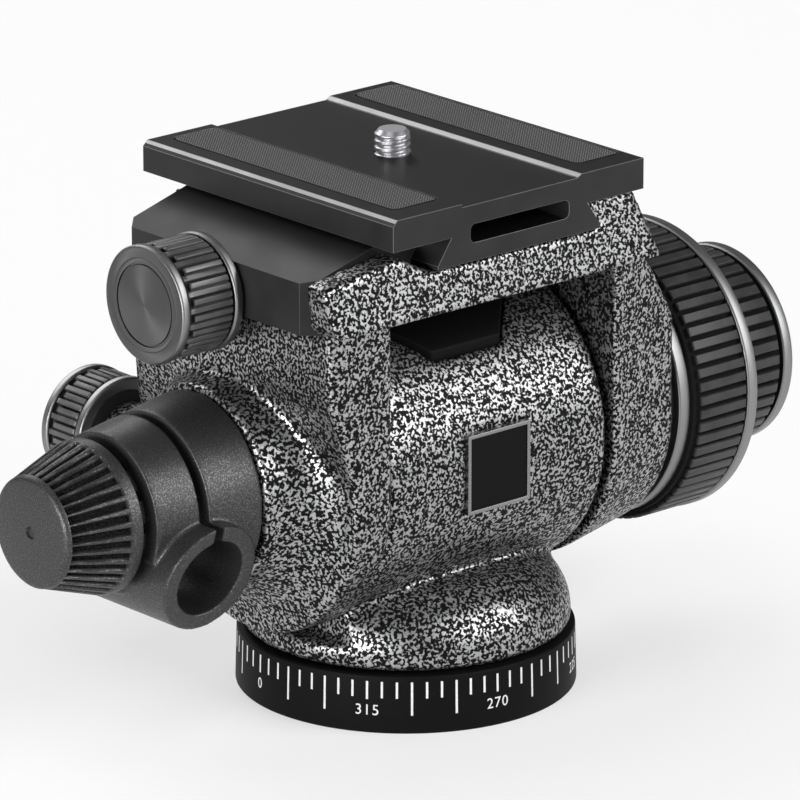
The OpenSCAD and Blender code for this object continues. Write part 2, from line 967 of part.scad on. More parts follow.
module spindle_screw() {
    color(steel)
        tilt_frame()
            difference() {
                union() {
                    rod_x(spindle_end - spindle_screw_len, spindle_end + over, bolt_r);
                    rod_x(spindle_end, spindle_end + spindle_head_t, spindle_head_r);
                }
                translate([spindle_end + spindle_key_floor, 0, 0])
                    rotate([0, 90, 0])
                        cylinder(h = spindle_head_t, r = spindle_key_r, $fn = 6);
            }
}

module brake_pad() {
    color(bronze)
        tilt_frame()
            translate([-lock_x, 0, -lock_drop])
                rod_y(axle_r + seat, bush_r + pad_out, lock_screw_r);
}

module jaw_pin(side) {
    color(steel)
        tilt_frame()
            translate([0, -jaw_shift + side * pin_pitch / 2, pin_z])
                rod_x(pin_end, pin_x, pin_r);
}

module jaw_pin_front() {
    jaw_pin(-1);
}

module jaw_pin_back() {
    jaw_pin(1);
}

// Sliding jaw and its knob
module sliding_jaw() {
    front = -jaw_shift - jaw_len / 2;
    back = -jaw_shift + jaw_len / 2;
    color(black)
        tilt_frame()
            difference() {
                union() {
                    intersection() {
                        along_y(front, back)
                            polygon([[-jaw_out, skirt_lo], [-jaw_out, jaw_edge_z],
                                [-jaw_top_in, jaw_top], [-jaw_nose - flank * seat, jaw_top],
                                [-jaw_back_x, foot_hi - 0.1], [-jaw_back_x, jaw_lo],
                                [-skirt_in, jaw_lo], [-skirt_in, skirt_lo]]);
                        translate([0, 0, -far])
                            linear_extrude(2 * far)
                                polygon([[0, front], [-jaw_out + jaw_chamfer, front],
                                    [-jaw_out, front + jaw_chamfer],
                                    [-jaw_out, back - jaw_chamfer],
                                    [-jaw_out + jaw_chamfer, back], [0, back]]);
                    }
                    translate([0, 0, bolt_z])
                        rod_x(-jaw_out, -skirt_in, bolt_pad_r);
                }
                translate([0, 0, bolt_z])
                    rod_x(-far, 0, bolt_r + run);
                for (side = [-1, 1])
                    translate([0, -jaw_shift + side * pin_pitch / 2, pin_z])
                        rod_x(pin_end - pin_over, 0, pin_r + run);
            }
}

module knob_washer() {
    color(steel)
        tilt_frame()
            translate([0, 0, bolt_z])
                tube_x(-jaw_out - washer_t, -jaw_out, bolt_r + run, washer_out_r);
}

module clamp_bolt() {
    color(steel)
        tilt_frame()
            translate([0, 0, bolt_z])
                rod_x(knob_x - knob_bolt_depth, bolt_end, bolt_r);
}

module clamp_knob_core() {
    color(black)
        clamp_knob_frame()
            small_knob_core(clamp_knob_len, bolt_r);
}

module clamp_knob_grip() {
    color(rubber)
        clamp_knob_frame()
            small_knob_grip(clamp_knob_len);
}

module clamp_knob_rear_ring() {
    color(silver)
        clamp_knob_frame()
            small_knob_rear_ring();
}

module clamp_knob_front_ring() {
    color(silver)
        clamp_knob_frame()
            small_knob_front_ring(clamp_knob_len);
}

module clamp_knob_cap() {
    color(black)
        clamp_knob_frame()
            small_knob_cap(clamp_knob_len);
}

// Camera plate
module plate_outline() {
    polygon([[-foot_half, foot_lo], [foot_half, foot_lo], [foot_half, foot_hi],
        [neck_half, slab_lo], [plate_half_x, slab_lo], [plate_half_x, slab_hi],
        [strip_half + bevel_w, slab_hi], [strip_half, strip_z], [-strip_half, strip_z],
        [-strip_half, slab_hi], [-plate_half_x + bevel_w, slab_hi],
        [-plate_half_x, slab_hi - bevel_w], [-plate_half_x, slab_lo],
        [-neck_half, slab_lo], [-foot_half, foot_hi]]);
}

module grip_block(x, z0, z1) {
    translate([x, -plate_half_y + grip_front, z0])
        linear_extrude(z1 - z0)
            rounded(grip_w, 2 * plate_half_y - grip_front - grip_back, grip_corner);
}

module camera_plate() {
    color(black)
        tilt_frame()
            difference() {
                along_y(-plate_half_y, plate_half_y)
                    plate_outline();
                grip_block(grip_left_x, slab_hi - grip_t, slab_hi + over);
                grip_block(grip_right_x, slab_hi - grip_t, slab_hi + over);
                translate([0, 0, foot_lo - over]) {
                    cylinder(h = far, r = screw_hole_r);
                    cylinder(h = screw_pit_h + over, r = screw_pit_r);
                }
                for (side = [-1, 1])
                    along_y(side * plate_half_y - slot_depth, side * plate_half_y + slot_depth)
                        translate([-slot_half, slot_z])
                            rounded(2 * slot_half, slot_h, slot_corner);
            }
}

module grip_strip_left() {
    color(rubber)
        tilt_frame()
            grip_block(grip_left_x, slab_hi - grip_t, slab_hi + grip_proud);
}

module grip_strip_right() {
    color(rubber)
        tilt_frame()
            grip_block(grip_right_x, slab_hi - grip_t, slab_hi + grip_proud);
}

module camera_screw() {
    top = strip_z + camera_screw_up;
    color(silver)
        tilt_frame()
            difference() {
                rotate_extrude()
                    polygon([[0, foot_lo + seat], [screw_cap_r, foot_lo + seat],
                        [screw_cap_r, foot_lo + seat + screw_cap_h],
                        [shank_r, foot_lo + seat + screw_cap_h], [shank_r, strip_z + seat],
                        [camera_screw_r, strip_z + seat], [camera_screw_r, top - screw_tip_edge],
                        [camera_screw_r - screw_tip_edge, top], [0, top]]);
                translate([-far, -screw_slot_w / 2, foot_lo + seat - over])
                    cube([2 * far, screw_slot_w, screw_slot_t + over]);
            }
}

// Handle clamp
module handle_clamp() {
    color(black)
        tilt_frame()
            difference() {
                union() {
                    difference() {
                        translate([clamp_end, 0, 0])
                            rotate([0, 90, 0])
                                cylinder(h = clamp_len, r1 = clamp_end_r, r2 = clamp_r);
                        translate([handle_x, 0, -handle_drop])
                            rod_y(-far, -relief_from, relief_r);
                    }
                    translate([handle_x, 0, -handle_drop])
                        rod_y(-handle_front - handle_over, handle_rear, tube_r);
                }
                translate([handle_x, -handle_front, -handle_drop])
                    rotate([handle_slant, 0, 0])
                        translate([-far / 2, -far, -far / 2])
                            cube([far, far, far]);
                translate([handle_x, 0, -handle_drop])
                    rod_y(-far, far, handle_r);
                translate([handle_x - split_w / 2, -far / 2, -handle_drop])
                    cube([split_w, far, far]);
                rod_x(-far, 0, stud_r + run);
                rod_x(-far, clamp_end, collar_r + seat);
            }
}

module knob_collar() {
    color(black)
        tilt_frame()
            translate([collar_end, 0, 0])
                rotate([0, 90, 0])
                    linear_extrude(collar_t)
                        difference() {
                            circle(collar_r);
                            circle(stud_r + run);
                            for (i = [0 : collar_notches - 1])
                                rotate(i * 360 / collar_notches)
                                    translate([collar_r - collar_notch_t, -collar_notch_w / 2])
                                        square([2 * collar_notch_t, collar_notch_w]);
                        }
}

module cone_frame() {
    tilt_frame()
        translate([cone_x, 0, 0])
            rotate([0, -90, 0])
                children();
}

module cone_knob() {
    slope = atan((cone_r - cone_end_r) / (cone_len - cone_rim - cone_edge));
    flute_len = (cone_len - cone_rim - cone_edge - flute_lead) / cos(slope);
    color(rubber)
        cone_frame()
            difference() {
                rotate_extrude()
                    polygon([[0, 0], [cone_r - cone_foot_edge, 0], [cone_r, cone_foot_edge],
                        [cone_r, cone_rim], [cone_end_r, cone_len - cone_edge],
                        [cone_end_r - cone_round / 2, cone_len - cone_round_h],
                        [cone_end_r - cone_round, cone_len],
                        [0, cone_len]]);
                translate([0, 0, -over])
                    cylinder(h = cone_nut_h + over, r = cone_nut_r);
                translate([0, 0, cone_len - dimple_t])
                    cylinder(h = over, r = dimple_r);
                for (i = [0 : cone_flutes - 1])
                    rotate(i * 360 / cone_flutes)
                        translate([cone_r - flute_t, -flute_w / 2, cone_rim + flute_lead])
                            rotate([0, -slope, 0])
                                cube([4 * flute_t, flute_w, flute_len]);
            }
}

module cone_nut() {
    color(bronze)
        cone_frame()
            difference() {
                cylinder(h = cone_nut_h, r = cone_nut_r);
                translate([0, 0, -over])
                    cylinder(h = cone_nut_h - cone_nut_skin + over, r = stud_r + run);
            }
}

// Friction rings
module drag_frame() {
    tilt_frame()
        translate([drag_x, 0, 0])
            rotate([0, 90, 0])
                children();
}

module trim_frame() {
    tilt_frame()
        translate([trim_x, 0, 0])
            rotate([0, 90, 0])
                children();
}

module drag_core() {
    ring_seat = inner_ring_r - inner_ring_t;
    color(black)
        drag_frame()
            rotate_extrude()
                polygon([[spindle_r + run, 0], [skirt_r, 0], [skirt_r, skirt_w],
                    [ring_seat, skirt_w], [ring_seat, drag_grip_z], [drag_seat_r, drag_grip_z],
                    [drag_seat_r, drag_len], [trim_r + drag_nose_more, drag_len + drag_nose],
                    [spindle_r + run, drag_len + drag_nose]]);
}

module drag_inner_ring() {
    color(silver)
        drag_frame()
            translate([0, 0, skirt_w])
                edged_ring(inner_ring_r - inner_ring_t, inner_ring_r, inner_ring_w, inner_ring_edge);
}

module drag_grip() {
    color(rubber)
        drag_frame()
            translate([0, 0, drag_grip_z])
                linear_extrude(drag_grip_w)
                    difference() {
                        knurl(drag_r - rib_sunk, ring_groove, ring_groove, drag_pairs);
                        circle(drag_seat_r);
                    }
}

module drag_outer_ring() {
    color(silver)
        drag_frame()
            translate([0, 0, drag_ring_z])
                rotate_extrude()
                    polygon([[drag_seat_r, 0], [drag_r, 0],
                        [drag_r, outer_ring_w - band_edge], [drag_r - band_edge, outer_ring_w],
                        [drag_seat_r, outer_ring_w]]);
}

module trim_core() {
    cap_z = trim_len - trim_cap_t + trim_cap_edge_h;
    pit_z = trim_ring_z - trim_pit_t;
    pit_r = spindle_head_r + trim_pit_gap;
    color(black)
        trim_frame()
            rotate_extrude()
                polygon([[spindle_tip_r + run, 0], [trim_r - trim_lead_in, 0],
                    [trim_r - trim_lead_in, trim_lead],
                    [trim_seat_r, trim_lead], [trim_seat_r, trim_ring_z],
                    [trim_cap_r, trim_ring_z], [trim_cap_r, cap_z],
                    [pit_r, cap_z], [pit_r, pit_z],
                    [spindle_tip_r + run, pit_z]]);
}

module trim_grip() {
    color(rubber)
        trim_frame()
            translate([0, 0, trim_lead])
                linear_extrude(trim_grip_w)
                    difference() {
                        knurl(trim_r, ring_groove, ring_groove, trim_pairs);
                        circle(trim_seat_r);
                    }
}

module trim_ring() {
    color(silver)
        trim_frame()
            translate([0, 0, trim_ring_z])
                rotate_extrude()
                    polygon([[trim_cap_r, 0], [trim_ring_r, 0],
                        [trim_ring_r, trim_ring_w - band_edge], [trim_ring_r - band_edge, trim_ring_w],
                        [trim_cap_r, trim_ring_w]]);
}

module trim_cap() {
    cap_z = trim_len - trim_cap_t + trim_cap_edge_h;
    groove_r = trim_cap_r - trim_groove_in;
    color(black)
        trim_frame()
            translate([0, 0, cap_z])
                rotate_extrude()
                    polygon([[0, 0], [trim_cap_r, 0], [trim_cap_r, trim_cap_t - trim_cap_edge_h],
                        [trim_cap_r - trim_cap_edge_in, trim_cap_t],
                        [groove_r + trim_groove_w, trim_cap_t],
                        [groove_r + trim_groove_w, trim_groove_floor],
                        [groove_r, trim_groove_floor], [groove_r, trim_cap_t - disc_sunk],
                        [0, trim_cap_t - disc_sunk]]);
}

// Tilt lock
module lock_screw() {
    color(steel)
        tilt_frame()
            translate([-lock_x, 0, -lock_drop])
                rod_y(bush_r + pad_out + lock_tip_gap, lock_back + knob_bolt_depth, lock_screw_r);
}

module lock_knob_core() {
    color(black)
        lock_frame()
            small_knob_core(lock_knob_len, lock_screw_r);
}

module lock_knob_grip() {
    color(rubber)
        lock_frame()
            small_knob_grip(lock_knob_len);
}

module lock_knob_rear_ring() {
    color(silver)
        lock_frame()
            small_knob_rear_ring();
}

module lock_knob_front_ring() {
    color(silver)
        lock_frame()
            small_knob_front_ring(lock_knob_len);
}

module lock_knob_cap() {
    color(black)
        lock_frame()
            small_knob_cap(lock_knob_len);
}

scale_ring();
base_plate();
thread_insert();
pan_post();
pan_nut();
base_screw_1();
base_screw_2();
base_screw_3();
pan_body();
pan_bush();
tilt_axle();
crown_cover();
badge_plate();
badge_frame();
yoke();
left_bush();
right_bush();
thrust_washer();
clamp_stud();
ring_spindle();
spindle_screw();
brake_pad();
jaw_pin_front();
jaw_pin_back();
sliding_jaw();
knob_washer();
clamp_bolt();
clamp_knob_core();
clamp_knob_grip();
clamp_knob_rear_ring();
clamp_knob_front_ring();
clamp_knob_cap();
camera_plate();
grip_strip_left();
grip_strip_right();
camera_screw();
handle_clamp();
knob_collar();
cone_knob();
cone_nut();
drag_core();
drag_grip();
drag_inner_ring();
drag_outer_ring();
trim_core();
trim_grip();
trim_ring();
trim_cap();
lock_screw();
lock_knob_core();
lock_knob_grip();
lock_knob_rear_ring();
lock_knob_front_ring();
lock_knob_cap();
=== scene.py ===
import json
import math

import bmesh
import bpy
import numpy as np
from bpy.props import FloatProperty, FloatVectorProperty, IntProperty, PointerProperty
from mathutils import Matrix, Vector


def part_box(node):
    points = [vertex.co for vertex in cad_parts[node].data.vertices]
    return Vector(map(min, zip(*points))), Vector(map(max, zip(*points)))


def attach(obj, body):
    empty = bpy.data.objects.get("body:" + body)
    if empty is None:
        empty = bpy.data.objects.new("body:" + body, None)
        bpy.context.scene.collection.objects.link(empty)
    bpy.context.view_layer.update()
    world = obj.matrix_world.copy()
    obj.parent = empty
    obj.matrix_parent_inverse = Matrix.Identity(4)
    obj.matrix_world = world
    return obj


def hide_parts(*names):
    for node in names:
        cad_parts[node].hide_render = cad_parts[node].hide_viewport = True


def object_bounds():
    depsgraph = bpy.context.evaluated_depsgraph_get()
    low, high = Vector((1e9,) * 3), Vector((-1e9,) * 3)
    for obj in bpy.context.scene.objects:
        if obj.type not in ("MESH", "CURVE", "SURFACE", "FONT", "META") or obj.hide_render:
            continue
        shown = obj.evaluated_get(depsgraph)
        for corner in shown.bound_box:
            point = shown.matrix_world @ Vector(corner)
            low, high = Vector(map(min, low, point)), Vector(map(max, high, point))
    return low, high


bl_info = {
    "name": "Two-way fluid head",
    "version": (1, 0, 0),
    "blender": (4, 5, 0),
    "location": "View3D > Sidebar > Fluid head",
    "description": "Dresses the packed head with cast, turned and moulded surfaces",
    "category": "Object",
}

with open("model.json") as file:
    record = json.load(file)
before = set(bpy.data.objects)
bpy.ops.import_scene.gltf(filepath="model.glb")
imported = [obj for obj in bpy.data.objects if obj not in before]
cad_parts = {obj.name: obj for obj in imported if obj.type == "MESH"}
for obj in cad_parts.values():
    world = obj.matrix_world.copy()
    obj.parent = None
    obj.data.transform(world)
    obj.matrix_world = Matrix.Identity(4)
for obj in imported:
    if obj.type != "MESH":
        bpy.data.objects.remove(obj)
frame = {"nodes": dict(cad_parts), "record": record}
CAD_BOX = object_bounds()
NODES = frame["nodes"]
RECORD = frame["record"]
BODY_OF = {node: body for body, nodes in RECORD["behaviour"]["bodies"].items() for node in nodes}

MM = 0.001
UP = (0, 0, 1)
LEFT = (-1, 0, 0)
RIGHT = (1, 0, 0)
BACK = (0, 1, 0)

# Mesh corners closer than this are one corner
WELD = 0.002 * MM
# Slack where a height is compared with the edge of a form
SLACK = 0.001 * MM
# Largest share of a stretch of outline that one rounded corner takes up
EASE_SHARE = 0.45
# Faces that turn by less than this are one flat face
FLAT_ANGLE = math.radians(0.5)
# Edges that turn by more than this are broken
EDGE_ANGLE = math.radians(28)
# Least cosine between a face's normal and the direction that it looks in
ALIGNED = 0.9
# Share of the way to its neighbours' mean that a cast corner moves in one pass
CAST_PULL = 0.5
# Rounding and steps round the circle of small turned pieces
TURNED_EASE = 0.1 * MM
TURNED_STEPS = 160
# Values of a noise at which a finish has its dark and its light tone
DARK_AT = 0.3
LIGHT_AT = 0.7

# Degrees between the scale's marks, its long marks and its numbers
MARK_STEP = 5
LONG_STEP = 15
NUMBER_STEP = 45
# Lengths of the marks, of which those over a number stop short of it
SHORT_MARK = 3.0 * MM
LONG_MARK = 6.1 * MM
NUMBER_MARK = 3.3 * MM
# How far the scale's print stands out of the ring and reaches into it
PRINT_PROUD = 0.03 * MM
PRINT_SUNK = 0.05 * MM

# Share of the pitch of a pair of ribs that a groove takes up
GROOVE_SHARE = 0.14
# Rounded shoulder of a rib: share of the pitch past the groove, and share of the groove's depth there
SHOULDER = ((0.0, 1.0), (0.008, 0.4), (0.02, 0.1), (0.04, 0.0))

# Half section of the paper floor and backdrop, as radius and height in metres
PAPER = ((0, 0), (2.2, 0), (2.6, 0.06), (2.9, 0.25), (3.05, 0.6), (3.1, 3.0))
# Name, place, width and height of each soft box, in metres
LAMPS = (
    ("key", (0.36, -0.88, 0.56), 1.05, 0.7),
    ("over", (-0.25, 0.05, 1.1), 0.45, 0.45),
    ("back", (0.05, 0.84, 0.72), 1.1, 0.4),
    ("low", (-0.8, -0.15, 0.15), 0.6, 0.13),
)
# Point that the soft boxes face
LAMP_AIM = (0, 0, 0.05)


def colour(name, description, value):
    """A colour that a user would change."""
    return FloatVectorProperty(
        name=name, description=description, subtype="COLOR", size=3, min=0.0, max=1.0, default=value
    )


def length(name, description, value):
    """A length in metres that a user would change."""
    return FloatProperty(name=name, description=description, unit="LENGTH", precision=5, default=value)


def angle(name, description, degrees):
    """An angle that a user would change."""
    return FloatProperty(name=name, description=description, subtype="ANGLE", default=math.radians(degrees))


def power(name, description, watts):
    """A lamp's power that a user would change."""
    return FloatProperty(name=name, description=description, subtype="POWER", default=watts)


def tally(name, description, value):
    """A count that a user would change."""
    return IntProperty(name=name, description=description, min=1, default=value)


class HeadFinishes(bpy.types.PropertyGroup):
    """Colours and grain of the head's finishes."""

    paint_ground: colour("Paint ground", "Dark ground of the speckled paint", (0.003, 0.003, 0.0032))
    paint_flake: colour("Paint flake", "Silver flakes of the speckled paint", (0.4, 0.4, 0.405))
    paint_grain: length("Paint grain", "Spacing of the speckles", 0.58 * MM)
    anodised: colour("Anodised", "Black anodised plate and jaw", (0.02, 0.02, 0.0203))
    cut: colour("Cut edges", "Bare metal of the cut edges", (0.28, 0.28, 0.284))
    plastic: colour("Plastic", "Moulded handle clamp and cone knob", (0.018, 0.018, 0.0184))
    rubber: colour("Rubber", "Ribbed grips and plate strips", (0.036, 0.036, 0.0365))
    bezel: colour("Bezel", "Turned bright rings", (0.26, 0.26, 0.264))
    # This light colour on the rubber's tips is a painted highlight.
    worn: colour("Tip highlight", "Highlight painted on the rubber's tips", (0.34, 0.34, 0.34))
    # On the crown this near-black colour is painted shade under the platform, in place of its moulded
    # plastic.
    enamel: colour("Enamel", "Badge, crown and scale", (0.005, 0.005, 0.0055))
    disc: colour("Disc", "Turned dark faces of the knobs", (0.11, 0.11, 0.112))
    steel: colour("Steel", "Screws, pins and axles", (0.58, 0.58, 0.6))
    bronze: colour("Bronze", "Bushes and pads", (0.5, 0.31, 0.13))
    mark: colour("Marks", "Painted marks of the scale", (0.72, 0.72, 0.71))


class HeadForms(bpy.types.PropertyGroup):
    """Sizes of the worked edges and fine forms."""

    cast_cell: length("Cast cell", "Mesh cell of the cast surfaces", 0.6 * MM)
    cast_passes: tally("Cast rounding", "Rounding passes on cast edges", 9)
    mould_cell: length("Mould cell", "Mesh cell of the moulded handle clamp", 0.3 * MM)
    mould_passes: tally("Mould rounding", "Rounding passes on moulded edges", 4)
    edge: length("Edge", "Softened edge of machined pieces", 0.3 * MM)
    bare_band: length("Bare band", "Bright upper part of the plate's chamfers", 0.5 * MM)
    thread_pitch: length("Thread pitch", "Pitch of the camera screw's thread", 1.27 * MM)
    strip_pitch: length("Strip pitch", "Spacing of the diamonds on the plate's strips", 0.58 * MM)
    knob_pairs: tally("Knob ribs", "Pairs of ribs on each small knob", 22)
    drag_pairs: tally("Friction ribs", "Pairs of ribs on the tilt friction ring", 33)
    trim_pairs: tally("Counterbalance ribs", "Pairs of ribs on the counterbalance ring", 21)
    cone_flutes: tally("Cone flutes", "Flutes on the cone knob", 36)
    scale_zero: angle("Scale zero", "Direction of the scale's zero", 170.4)
    mark_width: length("Mark width", "Width of a scale mark", 0.4 * MM)


class HeadStage(bpy.types.PropertyGroup):
    """Camera, floor and lamps."""

    azimuth: angle("Azimuth", "Camera direction round the head", -41.589)
    elevation: angle("Elevation", "Camera height angle", 18.132)
    distance: length("Distance", "Camera distance from its aim", 1.300289)
    aim_height: length("Aim height", "Height of the camera's aim", 51.543 * MM)
    aim_side: length("Aim side", "Sideways offset of the camera's aim", -1.051 * MM)
    lens: FloatProperty(name="Lens", description="Focal length in millimetres", default=331.22)
    floor: colour("Floor", "Floor and backdrop", (0.94, 0.94, 0.94))
    key_power: power("Key power", "Power of the main lamp", 12.0)
    back_power: power("Back power", "Power of the lamp behind", 5.0)
    low_power: power("Low power", "Power of the low left lamp", 6.0)
    over_power: power("Top power", "Power of the lamp above", 1.0)
    sky: FloatProperty(name="Sky", description="Strength of the even light all round", default=0.06)


def new_piece(name, mesh, sharp=40):
    """A smooth-shaded object of a mesh, where edges that turn by more than sharp degrees stay sharp."""
    mesh.polygons.foreach_set("use_smooth", [True] * len(mesh.polygons))
    mesh.set_sharp_from_angle(angle=math.radians(sharp))
    piece = bpy.data.objects.new(name, mesh)
    bpy.context.scene.collection.objects.link(piece)
    return piece


def mesh_of(name, points, faces):
    """A mesh of points and faces with outward normals."""
    mesh = bpy.data.meshes.new(name)
    mesh.from_pydata([tuple(p) for p in points], [], faces)
    work = bmesh.new()
    work.from_mesh(mesh)
    bmesh.ops.recalc_face_normals(work, faces=work.faces)
    work.to_mesh(mesh)
    work.free()
    return mesh


def evaluated(holder):
    """The mesh of an object with its modifiers or its lettering worked out."""
    graph = bpy.context.evaluated_depsgraph_get()
    return bpy.data.meshes.new_from_object(holder.evaluated_get(graph))


def stand_for(piece, material, node, *more):
    """Puts a piece in the place of CAD nodes of one body."""
    piece.data.materials.clear()
    piece.data.materials.append(material)
    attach(piece, BODY_OF[node])
    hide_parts(node, *more)


def repaint(material, *nodes):
    """Gives CAD nodes a finish."""
    for node in nodes:
        slots = NODES[node].material_slots
        if slots:
            slots[0].material = material
        else:
            NODES[node].data.materials.append(material)


def main_axis(direction):
    """The index of the axis that a direction follows most."""
    return max(range(3), key=lambda i: abs(direction[i]))


def seat(node, axis):
    """Matrix at the near end of a round node, with Z along an axis, its length and its radius."""
    low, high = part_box(node)
    along = main_axis(axis)
    start = (low + high) / 2
    start[along] = low[along] if axis[along] > 0 else high[along]
    size = high - low
    radius = max(size[i] for i in range(3) if i != along) / 2
    place = Matrix.Translation(start) @ Vector(axis).to_track_quat("Z", "Y").to_matrix().to_4x4()
    return place, size[along], radius


def eased(outline, radius, steps=3, closed=True):
    """An outline of (radius, height) points with its corners rounded; an open one keeps its ends."""
    result = []
    count = len(outline)
    for i, point in enumerate(outline):
        here = Vector(point)
        at_end = not closed and i in (0, count - 1)
        if at_end or here.x == 0:
            result.append(here)
            continue
        before = Vector(outline[i - 1]) - here
        after = Vector(outline[(i + 1) % count]) - here
        reach = min(radius, EASE_SHARE * before.length, EASE_SHARE * after.length)
        first = here + before.normalized() * reach
        last = here + after.normalized() * reach
        for step in range(steps + 1):
            t = step / steps
            result.append(first * (1 - t) ** 2 + here * 2 * t * (1 - t) + last * t * t)
    return result


def spun(name, place, outline, steps=96, closed=True, relief=None, turns=None):
    """A body of revolution of (radius, height) points; relief takes radius away by angle and height."""
    turns = turns or [2 * math.pi * i / steps for i in range(steps)]
    points, rows, pits = [], [], []
    for r, h in outline:
        if r == 0:
            rows.append([len(points)])
            points.append(place @ Vector((0, 0, h)))
            pits.append(0)
            continue
        row = []
        for turn in turns:
            cut = relief(turn, r, h) if relief else 0
            pits.append(cut / MM)
            row.append(len(points))
            points.append(place @ Vector(((r - cut) * math.cos(turn), (r - cut) * math.sin(turn), h)))
        rows.append(row)
    faces = []
    pairs = list(zip(rows, rows[1:])) + ([(rows[-1], rows[0])] if closed else [])
    count = len(turns)
    for low, high in pairs:
        for i in range(count):
            j = (i + 1) % count
            if len(low) == 1:
                faces.append((low[0], high[j], high[i]))
            elif len(high) == 1:
                faces.append((low[i], low[j], high[0]))
            else:
                faces.append((low[i], low[j], high[j], high[i]))
    mesh = mesh_of(name, points, faces)
    if relief:
        mesh.attributes.new("pit", "FLOAT", "POINT").data.foreach_set("value", pits)
    return new_piece(name, mesh)


def joined(node):
    """A bmesh of a CAD node with its split corners joined."""
    work = bmesh.new()
    work.from_mesh(NODES[node].data)
    bmesh.ops.remove_doubles(work, verts=work.verts, dist=WELD)
    return work


def softened(name, node, width, steps=2, bare=0.5, band=None):
    """A machined node's copy with its edges broken and worn by a share; band is what bare_chamfers takes."""
    work = joined(node)
    bmesh.ops.dissolve_limit(
        work, angle_limit=FLAT_ANGLE, verts=work.verts, edges=work.edges, use_dissolve_boundaries=False
    )
    edge = work.faces.layers.float.new("edge")
    edges = [e for e in work.edges if len(e.link_faces) == 2 and e.calc_face_angle(0) > EDGE_ANGLE]
    made = bmesh.ops.bevel(
        work, geom=edges, offset=width, offset_type="OFFSET", segments=steps, profile=0.5,
        affect="EDGES", clamp_overlap=True,
    )
    for face in made["faces"]:
        face[edge] = bare
    if band:
        bare_chamfers(work, edge, *band)
    mesh = bpy.data.meshes.new(name)
    work.to_mesh(mesh)
    work.free()
    piece = new_piece(name, mesh, sharp=60)
    flat = piece.modifiers.new("flat faces", "WEIGHTED_NORMAL")
    flat.keep_sharp = True
    return piece


def bare_chamfers(work, edge, direction, bottom):
    """Bares the faces of a bmesh that look in a direction, down to a height."""
    parts = [*work.verts, *work.edges, *work.faces]
    bmesh.ops.bisect_plane(work, geom=parts, dist=WELD, plane_co=(0, 0, bottom), plane_no=UP)
    work.normal_update()
    for face in work.faces:
        inside = face.normal.dot(direction) > ALIGNED and face.calc_center_median().z > bottom
        if inside and not face[edge]:
            face[edge] = 1.0


def rounded(points, links, passes, pull):
    """Points drawn towards the mean of their neighbours, pass by pass."""
    count = len(points)
    ends = np.concatenate([links[:, 0], links[:, 1]])
    others = np.concatenate([links[:, 1], links[:, 0]])
    degree = np.maximum(np.bincount(ends, minlength=count), 1)
    for _ in range(passes):
        sums = [np.bincount(ends, weights=points[others, k], minlength=count) for k in range(3)]
        mean = np.stack(sums, axis=1) / degree[:, None]
        points = points + pull[:, None] * (mean - points)
    return points


def cast(name, node, cell, passes, hold=None):
    """A copy of a node remeshed evenly, with its edges and inner corners rounded as in a casting."""
    work = joined(node)
    mesh = bpy.data.meshes.new(name)
    work.to_mesh(mesh)
    work.free()
    blank = bpy.data.objects.new(name + "_blank", mesh)
    bpy.context.scene.collection.objects.link(blank)
    remesh = blank.modifiers.new("even", "REMESH")
    remesh.mode = "VOXEL"
    remesh.voxel_size = cell
    even = evaluated(blank)
    even.name = name
    bpy.data.objects.remove(blank)
    bpy.data.meshes.remove(mesh)
    points = np.empty(len(even.vertices) * 3)
    even.vertices.foreach_get("co", points)
    points = points.reshape(-1, 3)
    links = np.empty(len(even.edges) * 2, dtype=np.int64)
    even.edges.foreach_get("vertices", links)
    pull = CAST_PULL * (hold(points) if hold else np.ones(len(points)))
    points = rounded(points, links.reshape(-1, 2), passes, pull)
    even.vertices.foreach_set("co", points.ravel())
    even.update()
    return new_piece(name, even, sharp=180)


def shader_of(name, base, metallic=0.0, roughness=0.5, **values):
    """A material, its node tree and its shader, with plain values on the shader's sockets."""
    material = bpy.data.materials.new(name)
    material.use_nodes = True
    shader = material.node_tree.nodes["Principled BSDF"]
    shader.inputs["Base Color"].default_value = (*base, 1)
    shader.inputs["Metallic"].default_value = metallic
    shader.inputs["Roughness"].default_value = roughness
    for socket, value in values.items():
        shader.inputs[socket.replace("_", " ")].default_value = value
    return material, material.node_tree, shader


def node_of(tree, kind, links=(), **values):
    """A shader node with its input values set and its inputs linked."""
    node = tree.nodes.new(kind)
    for key, value in values.items():
        if hasattr(node, key):
            setattr(node, key, value)
        else:
            node.inputs[key.replace("_", " ")].default_value = value
    for socket, source in links:
        tree.links.new(source, node.inputs[socket])
    return node


def math_of(tree, operation, first, second):
    """The result of a sum on two values."""
    links = [(0, first), (1, second)]
    return node_of(tree, "ShaderNodeMath", links, operation=operation).outputs["Value"]


def vector_math(tree, operation, first, second=None):
    """The result of a sum on two vectors, each a vector or a socket."""
    node = node_of(tree, "ShaderNodeVectorMath", operation=operation)
    for socket, value in enumerate((first, second)):
        if isinstance(value, bpy.types.NodeSocket):
            tree.links.new(value, node.inputs[socket])
        elif value is not None:
            node.inputs[socket].default_value = value
    return node.outputs["Value" if operation in ("DOT_PRODUCT", "LENGTH") else "Vector"]


def blend(tree, share, first, second):
    """A colour between two, each a colour or a socket."""
    node = node_of(tree, "ShaderNodeMix", [(0, share)], data_type="RGBA")
    for socket, value in ((6, first), (7, second)):
        if isinstance(value, bpy.types.NodeSocket):
            tree.links.new(value, node.inputs[socket])
        else:
            node.inputs[socket].default_value = (*value, 1)
    return node.outputs[2]


def ramp_of(tree, source, stops):
    """A colour ramp over a value, of (place, grey or colour) stops."""
    ramp = node_of(tree, "ShaderNodeValToRGB", [("Fac", source)])
    elements = ramp.color_ramp.elements
    while len(elements) < len(stops):
        elements.new(0.5)
    for element, (place, value) in zip(elements, stops):
        element.position = place
        element.color = (value, value, value, 1) if isinstance(value, float) else (*value, 1)
    return ramp.outputs["Color"]


